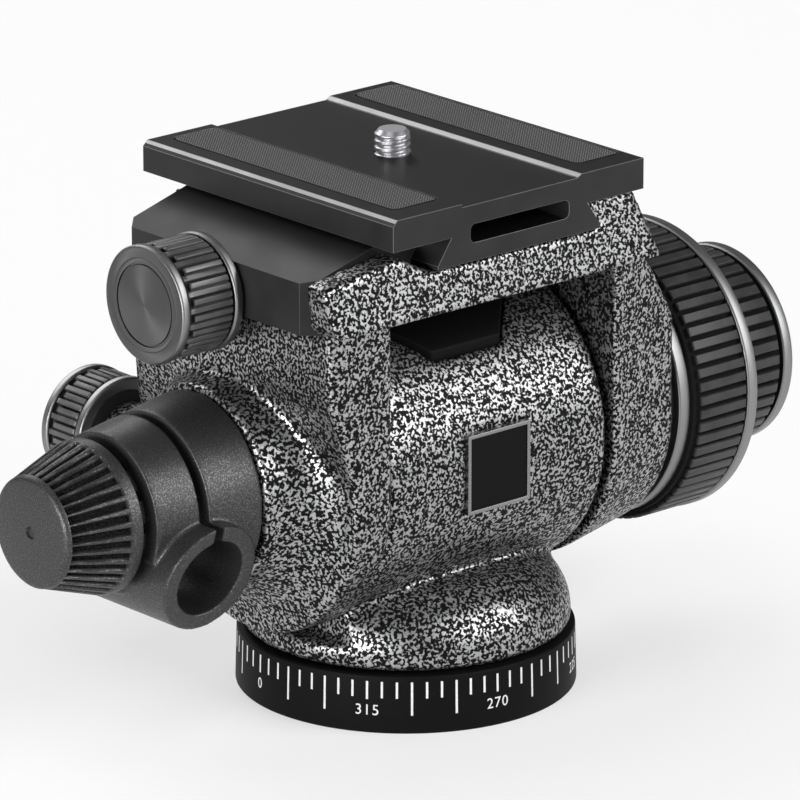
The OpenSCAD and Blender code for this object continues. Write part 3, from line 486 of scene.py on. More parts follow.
def uneven(tree, source, base, dark, light):
    """A tone that wanders with a noise between two shares of a base colour."""
    base = Vector(base)
    return ramp_of(tree, source, [(DARK_AT, base * dark), (LIGHT_AT, base * light)])


def where(tree):
    """The object's own coordinates."""
    return tree.nodes.new("ShaderNodeTexCoord").outputs["Object"]


def facing(tree, direction, stops):
    """A ramp over how far a face looks in a direction."""
    normal = tree.nodes.new("ShaderNodeTexCoord").outputs["Normal"]
    return ramp_of(tree, vector_math(tree, "DOT_PRODUCT", normal, direction), stops)


def painted_on(tree, name):
    """A value that a mesh carries by name."""
    return node_of(tree, "ShaderNodeAttribute", attribute_name=name).outputs["Fac"]


def noise(tree, spot, size, detail=2.0, roughness=0.5, distortion=0.0):
    """A noise whose cells are about a size in metres."""
    return node_of(
        tree, "ShaderNodeTexNoise", [("Vector", spot)], Scale=1 / size, Detail=detail, Roughness=roughness,
        Distortion=distortion,
    ).outputs["Fac"]


def bump(tree, shader, height, depth, strength):
    """Relief of a depth in metres on a shader."""
    node = node_of(tree, "ShaderNodeBump", [("Height", height)], Strength=strength, Distance=depth)
    tree.links.new(node.outputs["Normal"], shader.inputs["Normal"])


def pitted(tree, shader, tone, rough):
    """A tone with painted shade down in the grooves of a piece, and a roughness that goes dull there."""
    # Deep parts of the relief go near black: painted shade in the grooves.
    deep = ramp_of(tree, painted_on(tree, "pit"), [(0.25, 0.0), (0.7, 1.0)])
    tree.links.new(blend(tree, deep, tone, (0.001, 0.001, 0.001)), shader.inputs["Base Color"])
    tree.links.new(blend(tree, deep, rough, (1.0, 1.0, 1.0)), shader.inputs["Roughness"])


def speckled_paint(finish):
    """Black and silver hammered paint."""
    material, tree, shader = shader_of("speckled_paint", finish.paint_ground, Specular_IOR_Level=0.08)
    grain = noise(tree, where(tree), finish.paint_grain, detail=1.2, roughness=0.45, distortion=0.3)
    fleck = ramp_of(tree, grain, [(0.5, 0.0), (0.535, 0.9)])
    ground, flake = Vector(finish.paint_ground), Vector(finish.paint_flake)
    tone = ramp_of(tree, grain, [(0.49, ground), (0.53, flake * 0.45), (0.59, flake)])
    tree.links.new(tone, shader.inputs["Base Color"])
    tree.links.new(fleck, shader.inputs["Metallic"])
    tree.links.new(ramp_of(tree, grain, [(0.45, 0.5), (0.6, 0.36)]), shader.inputs["Roughness"])
    bump(tree, shader, grain, depth=0.2 * MM, strength=0.25)
    return material


def anodised(finish):
    """Satin black anodised metal, with painted shade on its up-facing faces, and its cut edges bare."""
    material, tree, shader = shader_of(
        "black_anodised", finish.anodised, roughness=0.4, Specular_IOR_Level=0.14
    )
    spot = where(tree)
    cloud = noise(tree, spot, 9 * MM)
    fine = noise(tree, spot, 0.12 * MM)
    painted_top_shade = facing(tree, UP, [(0.97, 0.0), (0.995, 1.0)])
    rough = ramp_of(tree, cloud, [(0.35, 0.37), (0.65, 0.44)])
    tree.links.new(blend(tree, painted_top_shade, rough, (0.44, 0.44, 0.44)), shader.inputs["Roughness"])
    tone = uneven(tree, cloud, finish.anodised, 0.85, 1.2)
    # Up-facing faces take a fifth of the tone: painted shade on the tops, not a different anodising.
    tone = blend(tree, painted_top_shade, tone, Vector(finish.anodised) * 0.2)
    edge = painted_on(tree, "edge")
    tree.links.new(blend(tree, edge, tone, finish.cut), shader.inputs["Base Color"])
    tree.links.new(edge, shader.inputs["Metallic"])
    bump(tree, shader, fine, depth=0.006 * MM, strength=0.35)
    return material


def moulded(finish):
    """Fine textured black plastic with a faint sparkle."""
    material, tree, shader = shader_of(
        "black_plastic", finish.plastic, roughness=0.44, Specular_IOR_Level=0.5
    )
    grain = noise(tree, where(tree), 0.26 * MM, detail=1.5, roughness=0.6)
    base = Vector(finish.plastic)
    tone = ramp_of(tree, grain, [(0.36, base * 0.3), (0.5, base * 2), (0.66, base * 6.5)])
    # The cone knob's flutes take painted shade.
    pitted(tree, shader, tone, ramp_of(tree, grain, [(0.35, 0.5), (0.65, 0.38)]))
    tree.links.new(ramp_of(tree, grain, [(0.4, 0.0), (0.58, 0.85)]), shader.inputs["Metallic"])
    bump(tree, shader, grain, depth=0.05 * MM, strength=0.6)
    return material


def rubbery(name, finish, shade, gloss):
    """Black rubber, a little dusty, with the knobs' copy painted lighter and the rings' darker, a painted
    highlight on its tips and painted shade in its grooves.
    """
    material, tree, shader = shader_of(name, finish.rubber, Specular_IOR_Level=gloss)
    spot = where(tree)
    cloud = noise(tree, spot, 3 * MM, detail=3.0)
    fine = noise(tree, spot, 0.16 * MM)
    tone = uneven(tree, cloud, Vector(finish.rubber) * shade, 0.8, 1.45)
    # Tips blend to a light colour: a painted highlight on the peaks.
    tip_highlight_share = ramp_of(tree, painted_on(tree, "tip"), [(0.35, 0.0), (0.95, 1.0)])
    rough = ramp_of(tree, cloud, [(DARK_AT, 0.38), (LIGHT_AT, 0.5)])
    pitted(tree, shader, blend(tree, tip_highlight_share, tone, finish.worn), rough)
    bump(tree, shader, fine, depth=0.012 * MM, strength=0.4)
    return material


def metal(name, base, roughness):
    """Bare metal with a fine even grain."""
    material, tree, shader = shader_of(name, base, metallic=1.0, roughness=roughness)
    grain = noise(tree, where(tree), 0.16 * MM, detail=3.0, roughness=0.6)
    tree.links.new(uneven(tree, grain, base, 0.86, 1.1), shader.inputs["Base Color"])
    rough = ramp_of(tree, grain, [(DARK_AT, roughness * 0.85), (LIGHT_AT, roughness * 1.2)])
    tree.links.new(rough, shader.inputs["Roughness"])
    return material


def turned(name, finish, knob, axis):
    """Metal turned about a knob's axis: fine rings, bright on round sides and darker on flat faces."""
    material, tree, shader = shader_of(name, finish.bezel, metallic=1.0, roughness=0.3, Anisotropic=0.7)
    centre = seat(knob, axis)[0].translation
    off = vector_math(tree, "SUBTRACT", where(tree), centre)
    along = vector_math(tree, "DOT_PRODUCT", off, axis)
    round_about = [0.0 if a else 1.0 for a in axis]
    away = vector_math(tree, "LENGTH", vector_math(tree, "MULTIPLY", off, round_about))
    spot = node_of(tree, "ShaderNodeCombineXYZ", [("X", away), ("Y", along)]).outputs["Vector"]
    lines = noise(tree, spot, 0.12 * MM, roughness=0.6)
    face = facing(tree, axis, [(0.8, 0.0), (0.95, 1.0)])
    side = uneven(tree, lines, finish.bezel, 0.9, 1.08)
    flat = uneven(tree, lines, finish.disc, 0.86, 1.12)
    tree.links.new(blend(tree, face, side, flat), shader.inputs["Base Color"])
    tree.links.new(ramp_of(tree, lines, [(DARK_AT, 0.33), (LIGHT_AT, 0.41)]), shader.inputs["Roughness"])
    tangent = node_of(tree, "ShaderNodeTangent", direction_type="RADIAL", axis="XYZ"[main_axis(axis)])
    tree.links.new(tangent.outputs["Tangent"], shader.inputs["Tangent"])
    return material


def painted(name, base):
    """Thin paint with a slightly uneven tone."""
    material, tree, shader = shader_of(name, base, Specular_IOR_Level=0.06)
    cloud = noise(tree, where(tree), 0.5 * MM)
    tree.links.new(uneven(tree, cloud, base, 0.88, 1.0), shader.inputs["Base Color"])
    return material


FINISH = {}


def finish_of(name):
    """One of the head's finishes, made when it is first asked for."""
    if name in FINISH:
        return FINISH[name]
    values = bpy.context.scene.head_finishes
    makers = {
        "paint": lambda: speckled_paint(values),
        "anodised": lambda: anodised(values),
        "plastic": lambda: moulded(values),
        # The knobs' copy of the rubber is painted lighter and the rings' copy darker: lit and shaded copies
        # of one rubber.
        "rubber": lambda: rubbery("ring_rubber", values, shade=0.7, gloss=0.35),
        "knob_rubber": lambda: rubbery("knob_rubber", values, shade=1.3, gloss=1.0),
        "strip": lambda: rubbery("strip_rubber", values, shade=0.3, gloss=0.2),
        "clamp_knob": lambda: turned("clamp_knob_metal", values, "clamp_knob_core", LEFT),
        "lock_knob": lambda: turned("lock_knob_metal", values, "lock_knob_core", BACK),
        "friction": lambda: turned("friction_metal", values, "drag_core", RIGHT),
        "trim": lambda: metal("bright_trim", values.bezel, roughness=0.28),
        "steel": lambda: metal("turned_steel", values.steel, roughness=0.36),
        "bronze": lambda: metal("turned_bronze", values.bronze, roughness=0.33),
        "mark": lambda: painted("scale_paint", values.mark),
        "enamel": lambda: painted("black_enamel", values.enamel),
    }
    FINISH[name] = makers[name]()
    return FINISH[name]


class HEAD_OT_castings(bpy.types.Operator):
    """Makes the cast pan body and yoke, the crown cover and the bare badge"""

    bl_idname = "head.castings"
    bl_label = "Castings"

    def execute(self, context):
        forms = context.scene.head_forms
        over_crown = 4 * MM
        deck_share = 0.45
        crown_edge = 0.4 * MM
        badge_edge = 0.12 * MM
        badge_proud = 0.12 * MM
        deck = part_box("crown_cover")[1].z + over_crown

        def crisper_deck(points):
            """Less rounding on the platform, where the jaw and the plate fit."""
            return np.where(points[:, 2] > deck, deck_share, 1.0)

        body = cast("pan_casting", "pan_body", forms.cast_cell, forms.cast_passes)
        stand_for(body, finish_of("paint"), "pan_body")
        yoke = cast("yoke_casting", "yoke", forms.cast_cell, forms.cast_passes, crisper_deck)
        stand_for(yoke, finish_of("paint"), "yoke")
        crown = softened("crown_moulding", "crown_cover", crown_edge)
        # The crown takes the badge's near-black finish instead of its moulded plastic: painted shade under
        # the platform.
        stand_for(crown, finish_of("enamel"), "crown_cover")
        repaint(finish_of("enamel"), "badge_plate")
        border = softened("badge_border", "badge_frame", badge_edge)
        border.data.transform(Matrix.Translation((0, -badge_proud, 0)))
        stand_for(border, finish_of("trim"), "badge_frame")
        return {"FINISHED"}


class HEAD_OT_base(bpy.types.Operator):
    """Makes the scale ring and its marks"""

    bl_idname = "head.base"
    bl_label = "Base and scale"

    def execute(self, context):
        forms = context.scene.head_forms
        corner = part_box("scale_ring")[1]
        outer, top = corner.x, corner.z
        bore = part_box("base_plate")[1].x
        draft = 0.3 * MM
        edge = 0.4 * MM

        def skin(height):
            """Radius of the ring's sloped wall at a height."""
            return outer - draft * height / top

        outline = [(bore, 0), (outer, 0), (skin(top), top), (bore, top)]
        ring = spun("scale_band", Matrix(), eased(outline, edge), steps=180)
        stand_for(ring, finish_of("enamel"), "scale_ring")
        self.marks(forms, outer, top, skin)
        for degrees in range(0, 360, NUMBER_STEP):
            self.number(forms, degrees, outer, skin)
        repaint(finish_of("steel"), "base_plate", "pan_post", "pan_nut")
        repaint(finish_of("steel"), "base_screw_1", "base_screw_2", "base_screw_3")
        repaint(finish_of("bronze"), "thread_insert", "pan_bush")
        return {"FINISHED"}

    def mark_length(self, degrees):
        """Length of the mark at an angle of the scale."""
        if degrees % NUMBER_STEP == 0:
            return NUMBER_MARK
        return SHORT_MARK if degrees % LONG_STEP else LONG_MARK

    def marks(self, forms, outer, top, skin):
        """The scale's marks, each a thin block on the ring."""
        below_top = 1.05 * MM
        start = top - below_top
        half = forms.mark_width / outer / 2
        sides = ((0, 1, 3, 2), (4, 6, 7, 5), (0, 4, 5, 1), (2, 3, 7, 6), (0, 2, 6, 4), (1, 5, 7, 3))
        points, faces = [], []
        for degrees in range(0, 360, MARK_STEP):
            turn = forms.scale_zero + math.radians(degrees)
            base = len(points)
            for z in (start, start - self.mark_length(degrees)):
                for r in (skin(z) - PRINT_SUNK, skin(z) + PRINT_PROUD):
                    for a in (turn - half, turn + half):
                        points.append((r * math.cos(a), r * math.sin(a), z))
            faces += [[base + k for k in side] for side in sides]
        lines = new_piece("scale_lines", mesh_of("scale_lines", points, faces), sharp=20)
        lines.data.materials.append(finish_of("mark"))
        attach(lines, "base")

    def number(self, forms, degrees, outer, skin):
        """One number of the scale, wrapped on the ring; they count down as the angle grows."""
        value = -degrees % 360
        height = 4.2 * MM
        words = bpy.data.curves.new("number", "FONT")
        words.body = str(value)
        words.size = 2.75 * MM
        words.space_character = 1.12
        words.align_x = "CENTER"
        words.align_y = "CENTER"
        words.extrude = (PRINT_PROUD + PRINT_SUNK) / 2
        words.resolution_u = 4
        holder = bpy.data.objects.new("number", words)
        bpy.context.scene.collection.objects.link(holder)
        mesh = evaluated(holder)
        bpy.data.objects.remove(holder)
        bpy.data.curves.remove(words)
        turn = forms.scale_zero + math.radians(degrees)
        for vertex in mesh.vertices:
            x, y, z = vertex.co
            r = skin(height + y) + (PRINT_PROUD - PRINT_SUNK) / 2 + z
            a = turn + x / outer
            vertex.co = (r * math.cos(a), r * math.sin(a), height + y)
        mesh.materials.clear()
        mesh.name = f"scale_number_{value}"
        piece = new_piece(f"scale_number_{value}", mesh, sharp=20)
        piece.data.materials.append(finish_of("mark"))
        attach(piece, "base")


def ribbed_grip(name, node, core, axis, pairs, grooves, gaps):
    """A rubber grip of pairs of ribs, with two groove depths; gaps are each rib's ends short of the rings."""
    place, size, radius = seat(node, axis)
    bore = seat(core, axis)[2]
    pitch = 2 * math.pi / pairs
    soft = 0.3 * MM
    sag = 0.6 * soft
    step = 0.02 * MM
    across = []
    for rib, (before, after) in enumerate((grooves, grooves[::-1])):
        for reach, share in SHOULDER:
            across.append((rib / 2 + GROOVE_SHARE / 2 + reach, before * share, rib))
        for reach, share in reversed(SHOULDER):
            across.append(((rib + 1) / 2 - GROOVE_SHARE / 2 - reach, after * share, rib))
    turns, cuts = [], {}
    for i in range(pairs):
        for fraction, depth, rib in across:
            turn = (i + fraction) * pitch
            turns.append(turn)
            cuts[turn] = (depth, rib)
    lengths = {0, size}
    for near, far in gaps:
        for reach in (-step, 0, soft / 2, soft):
            lengths |= {max(0, near + reach), min(size, size - far - reach)}
    outline = [(bore, 0)] + [(radius, h) for h in sorted(lengths)] + [(bore, size)]

    def relief(turn, r, h):
        """Depth below the ribs' tops, in the grooves, past the ribs' ends and on their rounding."""
        if r < radius:
            return 0
        depth, rib = cuts[turn]
        near, far = gaps[rib]
        inside = min(h - near, size - far - h)
        if inside < -SLACK:
            return max(grooves)
        return max(depth, sag * max(0, 1 - inside / soft) ** 2)

    return spun(name, place, outline, relief=relief, turns=turns)


def bezel(name, node, bore, axis, finish):
    """A turned ring with small chamfers."""
    place, size, radius = seat(node, axis)
    edge = 0.3 * MM
    face = radius - edge
    outline = [(bore, 0), (face, 0), (radius, edge), (radius, size - edge), (face, size), (bore, size)]
    ring = spun(name, place, eased(outline, TURNED_EASE, steps=2), steps=TURNED_STEPS)
    stand_for(ring, finish_of(finish), node)


class HEAD_OT_small_knobs(bpy.types.Operator):
    """Makes the clamp knob and the tilt lock knob"""

    bl_idname = "head.small_knobs"
    bl_label = "Small knobs"

    def execute(self, context):
        pairs = context.scene.head_forms.knob_pairs
        depths = (1.0 * MM, 0.6 * MM)
        long_rib = (0.4 * MM, 0.15 * MM)
        short_rib = (0.4 * MM, 1.2 * MM)
        for knob, axis in (("clamp_knob", LEFT), ("lock_knob", BACK)):
            core, node = knob + "_core", knob + "_grip"
            grip = ribbed_grip(knob + "_ribs", node, core, axis, pairs, depths, (long_rib, short_rib))
            stand_for(grip, finish_of("knob_rubber"), node)
            bore = seat(knob + "_cap", axis)[2]
            bezel(knob + "_rear_bezel", knob + "_rear_ring", bore, axis, knob)
            bezel(knob + "_front_bezel", knob + "_front_ring", bore, axis, knob)
            self.disc(knob + "_disc", knob + "_cap", axis, knob)
            repaint(finish_of("anodised"), core)
        repaint(finish_of("steel"), "clamp_bolt", "lock_screw", "knob_washer")
        return {"FINISHED"}

    def disc(self, name, node, axis, finish):
        """The turned disc in a knob's end, with its groove."""
        place, size, radius = seat(node, axis)
        inner = radius - 1.2 * MM
        outer = inner + 0.28 * MM
        floor = size * 0.6
        face = size * 0.96
        outline = [
            (0, 0), (radius, 0), (radius, size), (outer, size), (outer, floor), (inner, floor),
            (inner, face), (0, face),
        ]
        smooth = eased(outline, TURNED_EASE, steps=2, closed=False)
        disc = spun(name, place, smooth, steps=TURNED_STEPS, closed=False)
        stand_for(disc, finish_of(finish), node)


class HEAD_OT_friction_rings(bpy.types.Operator):
    """Makes the tilt friction ring and the counterbalance ring"""

    bl_idname = "head.friction_rings"
    bl_label = "Friction rings"

    def execute(self, context):
        forms = context.scene.head_forms
        depths = (1.2 * MM, 1.2 * MM)
        drag_rib = (1.0 * MM, 0.25 * MM)
        trim_rib = (0.4 * MM, 1.1 * MM)
        inner_wide = 3.8 * MM
        outer_wide = 2.8 * MM
        for ring, core, pairs, rib in (
            ("drag", "drag_core", forms.drag_pairs, drag_rib),
            ("trim", "trim_cap", forms.trim_pairs, trim_rib),
        ):
            grip = ribbed_grip(ring + "_ribs", ring + "_grip", core, RIGHT, pairs, depths, (rib, rib))
            stand_for(grip, finish_of("rubber"), ring + "_grip")
        inner = seat("drag_inner_ring", RIGHT)[2] - inner_wide
        bezel("drag_inner_bezel", "drag_inner_ring", inner, RIGHT, "friction")
        outer = seat("drag_outer_ring", RIGHT)[2] - outer_wide
        bezel("drag_outer_bezel", "drag_outer_ring", outer, RIGHT, "friction")
        bezel("trim_bezel", "trim_ring", seat("trim_cap", RIGHT)[2], RIGHT, "friction")
        self.disc("trim_disc", "trim_cap")
        repaint(finish_of("anodised"), "drag_core", "trim_core")
        repaint(finish_of("steel"), "ring_spindle", "spindle_screw")
        return {"FINISHED"}

    def disc(self, name, node):
        """The counterbalance ring's end disc, with its bevelled rim and its groove."""
        place, size, radius = seat(node, RIGHT)
        ease = 0.12 * MM
        bevel = radius - 1.2 * MM
        outer = radius - 2.2 * MM
        inner = radius - 2.8 * MM
        shoulder = size * 0.7
        floor = size * 0.5
        face = size * 0.86
        outline = [
            (0, 0), (radius, 0), (radius, shoulder), (bevel, size), (outer, size), (outer, floor),
            (inner, floor), (inner, face), (0, face),
        ]
        smooth = eased(outline, ease, steps=2, closed=False)
        disc = spun(name, place, smooth, steps=128, closed=False)
        stand_for(disc, finish_of("friction"), node)


class HEAD_OT_camera_plate(bpy.types.Operator):
    """Makes the camera plate, its diamond strips and the threaded camera screw"""

    bl_idname = "head.camera_plate"
    bl_label = "Camera plate"

    def execute(self, context):
        forms = context.scene.head_forms
        slant = (Vector(LEFT) + Vector(UP)).normalized()
        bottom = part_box("camera_plate")[1].z - forms.bare_band
        plate = softened("plate_slab", "camera_plate", forms.edge, band=(slant, bottom))
        stand_for(plate, finish_of("anodised"), "camera_plate")
        for side in ("left", "right"):
            strip = self.strip("strip_" + side, "grip_strip_" + side, forms.strip_pitch)
            stand_for(strip, finish_of("strip"), "grip_strip_" + side)
        stand_for(self.screw(forms.thread_pitch), finish_of("steel"), "camera_screw")
        return {"FINISHED"}

    def strip(self, name, node, pitch):
        """A rubber strip of small diamonds with rounded corners, set in a little from its node's sides."""
        inset = 0.35 * MM
        corner = 1.3 * MM
        relief = 0.16 * MM
        low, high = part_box(node)
        left, right = low.x + inset, high.x - inset
        front, back = low.y + inset, high.y - inset
        columns = round((right - left) / pitch)
        rows = round((back - front) / pitch)
        wide, deep = (right - left) / columns, (back - front) / rows
        valley = high.z - relief
        points, faces = [], []

        def add(x, y, z):
            """Adds a point, drawn in at the rounded corners, and gives its number."""
            near_x = min(max(x, left + corner), right - corner)
            near_y = min(max(y, front + corner), back - corner)
            inner = Vector((near_x, near_y))
            off = Vector((x, y)) - inner
            if off.length > corner:
                x, y = inner + off.normalized() * corner
            points.append((x, y, z))
            return len(points) - 1

        grid = []
        for j in range(rows + 1):
            grid.append([add(left + wide * i, front + deep * j, valley) for i in range(columns + 1)])
        for j in range(rows):
            for i in range(columns):
                peak = add(left + wide * (i + 0.5), front + deep * (j + 0.5), high.z)
                corners = (grid[j][i], grid[j][i + 1], grid[j + 1][i + 1], grid[j + 1][i])
                faces += [(a, b, peak) for a, b in zip(corners, corners[1:] + corners[:1])]
        edge = grid[0] + [row[-1] for row in grid[1:]] + grid[-1][-2::-1] + [row[0] for row in grid[-2:0:-1]]
        foot = [add(points[k][0], points[k][1], low.z) for k in edge]
        for k in range(len(edge)):
            after = (k + 1) % len(edge)
            faces.append((edge[k], foot[k], foot[after], edge[after]))
        faces.append(tuple(foot))
        mesh = mesh_of(name, points, faces)
        # Peaks of the diamonds, which take a painted highlight.
        tips = [1.0 if vertex.co.z > valley + relief / 2 else 0.0 for vertex in mesh.vertices]
        mesh.attributes.new("tip", "FLOAT", "POINT").data.foreach_set("value", tips)
        return new_piece(name, mesh, sharp=20)

    def screw(self, pitch):
        """The camera screw: broad foot, plain shank and a real helical thread."""
        place, size, foot = seat("camera_screw", UP)
        radius = 3.175 * MM
        shank = radius - 0.1 * MM
        foot_height = 3.0 * MM
        depth = 0.5 * MM
        chamfer = 0.75 * MM
        in_plate = 2.2 * MM
        flank = 1.7
        levels = 90
        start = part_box("camera_plate")[1].z - place.translation.z - in_plate
        heights = [start + (size - start) * i / levels for i in range(levels + 1)]
        outline = [(0, 0), (foot, 0), (foot, foot_height), (shank, foot_height), (shank, start)]
        outline += [(radius, h) for h in heights] + [(0, size)]

        def relief(turn, r, h):
            """Depth of the thread, which starts softly and ends in a chamfer."""
            if r != radius:
                return 0
            phase = (h / pitch - turn / (2 * math.pi)) % 1
            off_crest = abs(phase - 0.5) * 2
            tooth = min(1, max(0, 1 - (1 - off_crest) * flank))
            cut = depth * tooth * min(1, (h - start) / pitch)
            return max(cut, chamfer - (size - h))

        return spun("threaded_screw", place, outline, steps=72, closed=False, relief=relief)


class HEAD_OT_quick_release(bpy.types.Operator):
    """Makes the sliding jaw"""

    bl_idname = "head.quick_release"
    bl_label = "Sliding jaw"

    def execute(self, context):
        wider = 2.4
        width = context.scene.head_forms.edge * wider
        jaw = softened("jaw_block", "sliding_jaw", width, steps=4, bare=0.2)
        stand_for(jaw, finish_of("anodised"), "sliding_jaw")
        repaint(finish_of("steel"), "jaw_pin_front", "jaw_pin_back")
        return {"FINISHED"}


class HEAD_OT_handle(bpy.types.Operator):
    """Makes the handle clamp, its notched collar and the cone knob"""

    bl_idname = "head.handle"
    bl_label = "Handle clamp"

    def execute(self, context):
        forms = context.scene.head_forms
        collar_edge = 0.12 * MM
        clamp = cast("handle_moulding", "handle_clamp", forms.mould_cell, forms.mould_passes)
        stand_for(clamp, finish_of("plastic"), "handle_clamp")
        collar = softened("collar_ring", "knob_collar", collar_edge)
        stand_for(collar, finish_of("plastic"), "knob_collar")
        stand_for(self.cone(forms.cone_flutes), finish_of("plastic"), "cone_knob")
        repaint(finish_of("steel"), "clamp_stud")
        repaint(finish_of("bronze"), "cone_nut")
        return {"FINISHED"}

    def cone(self, flutes):
        """The cone knob: straight flutes from its rim band to the plain edge of its end."""
        place, size, rim = seat("cone_knob", LEFT)
        bore = seat("cone_nut", LEFT)[2]
        end = 10.0 * MM
        band = 1.8 * MM
        rim_edge = 0.4 * MM
        lead = 0.6 * MM
        edge = size - 1.0 * MM
        well = size - 3 * MM
        deep = 0.9 * MM
        half = 0.62 * MM
        soft = 0.28 * MM
        flute_steps = 16
        run = edge - band
        middle = [k / 10 for k in range(1, 10)]
        shares = [0, lead / run, lead * 1.25 / run, *middle, 0.985, 0.99, 1]
        slope = [(rim - (rim - end) * t, band + run * t) for t in shares]
        crown = [
            (end - 0.1 * MM, size - 0.55 * MM), (end - 0.45 * MM, size - 0.2 * MM), (end - 1.1 * MM, size),
        ]
        dimple = [(1.15 * MM, size), (0.9 * MM, size - 0.5 * MM), (0, size - 0.6 * MM)]
        outline = [(0, well), (bore, well), (bore, 0), (rim - rim_edge, 0), (rim, rim_edge)]
        outline += slope + crown + dimple
        first, last = slope[2][1] - SLACK, slope[-2][1]

        def relief(turn, r, h):
            """Depth of the flutes, with soft sides, between the first and the last height."""
            if not first < h < last:
                return 0
            off = abs((turn * flutes / (2 * math.pi)) % 1 - 0.5) * 2 * math.pi * r / flutes
            cut = min(1, max(0, (half + soft / 2 - off) / soft))
            return deep * cut * cut * (3 - 2 * cut)

        return spun("cone_fluted", place, outline, steps=flutes * flute_steps, closed=False, relief=relief)


class HEAD_OT_inner_works(bpy.types.Operator):
    """Finishes the bearings inside the head"""

    bl_idname = "head.inner_works"
    bl_label = "Inner works"

    def execute(self, context):
        repaint(finish_of("steel"), "tilt_axle")
        repaint(finish_of("bronze"), "left_bush", "right_bush", "thrust_washer", "brake_pad")
        return {"FINISHED"}


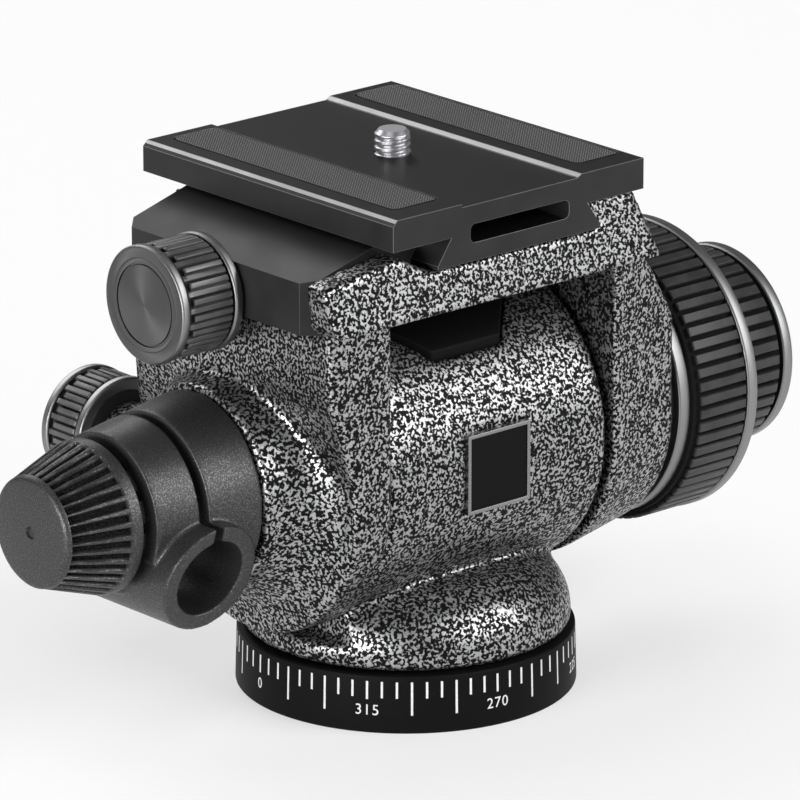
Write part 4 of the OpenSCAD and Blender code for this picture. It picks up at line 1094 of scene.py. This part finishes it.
class HEAD_OT_stage(bpy.types.Operator):
    """Sets the floor, the soft lamps and the camera"""

    bl_idname = "head.stage"
    bl_label = "Stage"

    def execute(self, context):
        stage = context.scene.head_stage
        self.floor(stage)
        self.world(context.scene, stage)
        for name, place, wide, high in LAMPS:
            self.lamp(name, place, wide, high, getattr(stage, name + "_power"))
        self.camera(context.scene, stage)
        context.scene.view_settings.view_transform = "Standard"
        return {"FINISHED"}

    def floor(self, stage):
        """A wide floor that curves up into a backdrop all round."""
        place = Matrix.Translation((0, 0, CAD_BOX[0][2]))
        floor = spun("floor", place, PAPER, closed=False)
        floor.data.flip_normals()
        material, tree, shader = shader_of("pale_paper", stage.floor, roughness=0.9)
        cloud = noise(tree, where(tree), 0.3)
        tree.links.new(uneven(tree, cloud, stage.floor, 0.985, 1.0), shader.inputs["Base Color"])
        self.glow(tree, shader)
        floor.data.materials.append(material)

    def glow(self, tree, shader):
        """Lifts the paper towards white where it is looked at, mirrored or seen through; shadows stay, and it
        lifts less near the head, a painted shade round the foot.
        """
        rays = tree.nodes.new("ShaderNodeLightPath").outputs
        away = vector_math(tree, "LENGTH", where(tree))

        def fade(near, far, first, last):
            """A value that goes from first to last between two distances from the head."""
            reach = {"From_Min": near, "From_Max": far, "To_Min": first, "To_Max": last}
            return node_of(tree, "ShaderNodeMapRange", [("Value", away)], **reach).outputs["Result"]

        mirrored = math_of(tree, "MAXIMUM", rays["Is Glossy Ray"], rays["Is Transmission Ray"])
        mirrored = math_of(tree, "MULTIPLY", mirrored, fade(near=0.7, far=1.5, first=1.0, last=0.0))
        seen = math_of(tree, "MAXIMUM", rays["Is Camera Ray"], mirrored)
        # Less white near the head: painted shade round the foot.
        share = math_of(tree, "MULTIPLY", seen, fade(near=0.05, far=0.12, first=0.5, last=0.88))
        white = node_of(tree, "ShaderNodeEmission", Strength=1.0)
        mix = node_of(tree, "ShaderNodeMixShader", [(0, share)])
        tree.links.new(shader.outputs["BSDF"], mix.inputs[1])
        tree.links.new(white.outputs["Emission"], mix.inputs[2])
        tree.links.new(mix.outputs["Shader"], tree.nodes["Material Output"].inputs["Surface"])

    def world(self, scene, stage):
        """Even white light all round."""
        world = bpy.data.worlds.new("studio")
        world.use_nodes = True
        back = world.node_tree.nodes["Background"]
        back.inputs["Color"].default_value = (1, 1, 1, 1)
        back.inputs["Strength"].default_value = stage.sky
        scene.world = world

    def lamp(self, name, place, wide, high, watts):
        """A soft box that faces the head."""
        light = bpy.data.lights.new(name, "AREA")
        light.shape = "RECTANGLE"
        light.size, light.size_y = wide, high
        light.energy = watts
        lamp = bpy.data.objects.new(name, light)
        lamp.location = place
        lamp.visible_camera = False
        aim = Vector(LAMP_AIM) - Vector(place)
        lamp.rotation_euler = aim.to_track_quat("-Z", "Y").to_euler()
        bpy.context.scene.collection.objects.link(lamp)

    def camera(self, scene, stage):
        """The photograph's viewpoint."""
        a, e = stage.azimuth, stage.elevation
        back = Vector((math.sin(a) * math.cos(e), -math.cos(a) * math.cos(e), math.sin(e)))
        side = Vector((math.cos(a), math.sin(a), 0))
        lens = bpy.data.cameras.new("camera")
        lens.sensor_fit = "HORIZONTAL"
        lens.sensor_width = 36
        lens.lens = stage.lens
        camera = bpy.data.objects.new("camera", lens)
        camera.location = Vector((0, 0, stage.aim_height)) + side * stage.aim_side + back * stage.distance
        camera.rotation_euler = (math.pi / 2 - e, 0, a)
        scene.collection.objects.link(camera)
        scene.camera = camera


class HEAD_PT_panel(bpy.types.Panel):
    """Lists the steps that dress the head"""

    bl_label = "Fluid head"
    bl_idname = "HEAD_PT_panel"
    bl_space_type = "VIEW_3D"
    bl_region_type = "UI"
    bl_category = "Fluid head"

    def draw(self, context):
        for step in STEPS:
            self.layout.operator(step.bl_idname)
        for group in (context.scene.head_finishes, context.scene.head_forms, context.scene.head_stage):
            box = self.layout.box()
            for name in group.__annotations__:
                box.prop(group, name)


GROUPS = {"head_finishes": HeadFinishes, "head_forms": HeadForms, "head_stage": HeadStage}
STEPS = (
    HEAD_OT_castings, HEAD_OT_base, HEAD_OT_small_knobs, HEAD_OT_friction_rings, HEAD_OT_camera_plate,
    HEAD_OT_quick_release, HEAD_OT_handle, HEAD_OT_inner_works, HEAD_OT_stage,
)


def register():
    for kind in (*GROUPS.values(), *STEPS, HEAD_PT_panel):
        bpy.utils.register_class(kind)
    for name, kind in GROUPS.items():
        setattr(bpy.types.Scene, name, PointerProperty(type=kind))


def unregister():
    for name in GROUPS:
        delattr(bpy.types.Scene, name)
    for kind in reversed((*GROUPS.values(), *STEPS, HEAD_PT_panel)):
        bpy.utils.unregister_class(kind)


def main():
    register()
    bpy.ops.head.castings()
    bpy.ops.head.base()
    bpy.ops.head.small_knobs()
    bpy.ops.head.friction_rings()
    bpy.ops.head.camera_plate()
    bpy.ops.head.quick_release()
    bpy.ops.head.handle()
    bpy.ops.head.inner_works()
    bpy.ops.head.stage()


if __name__ == "__main__":
    main()
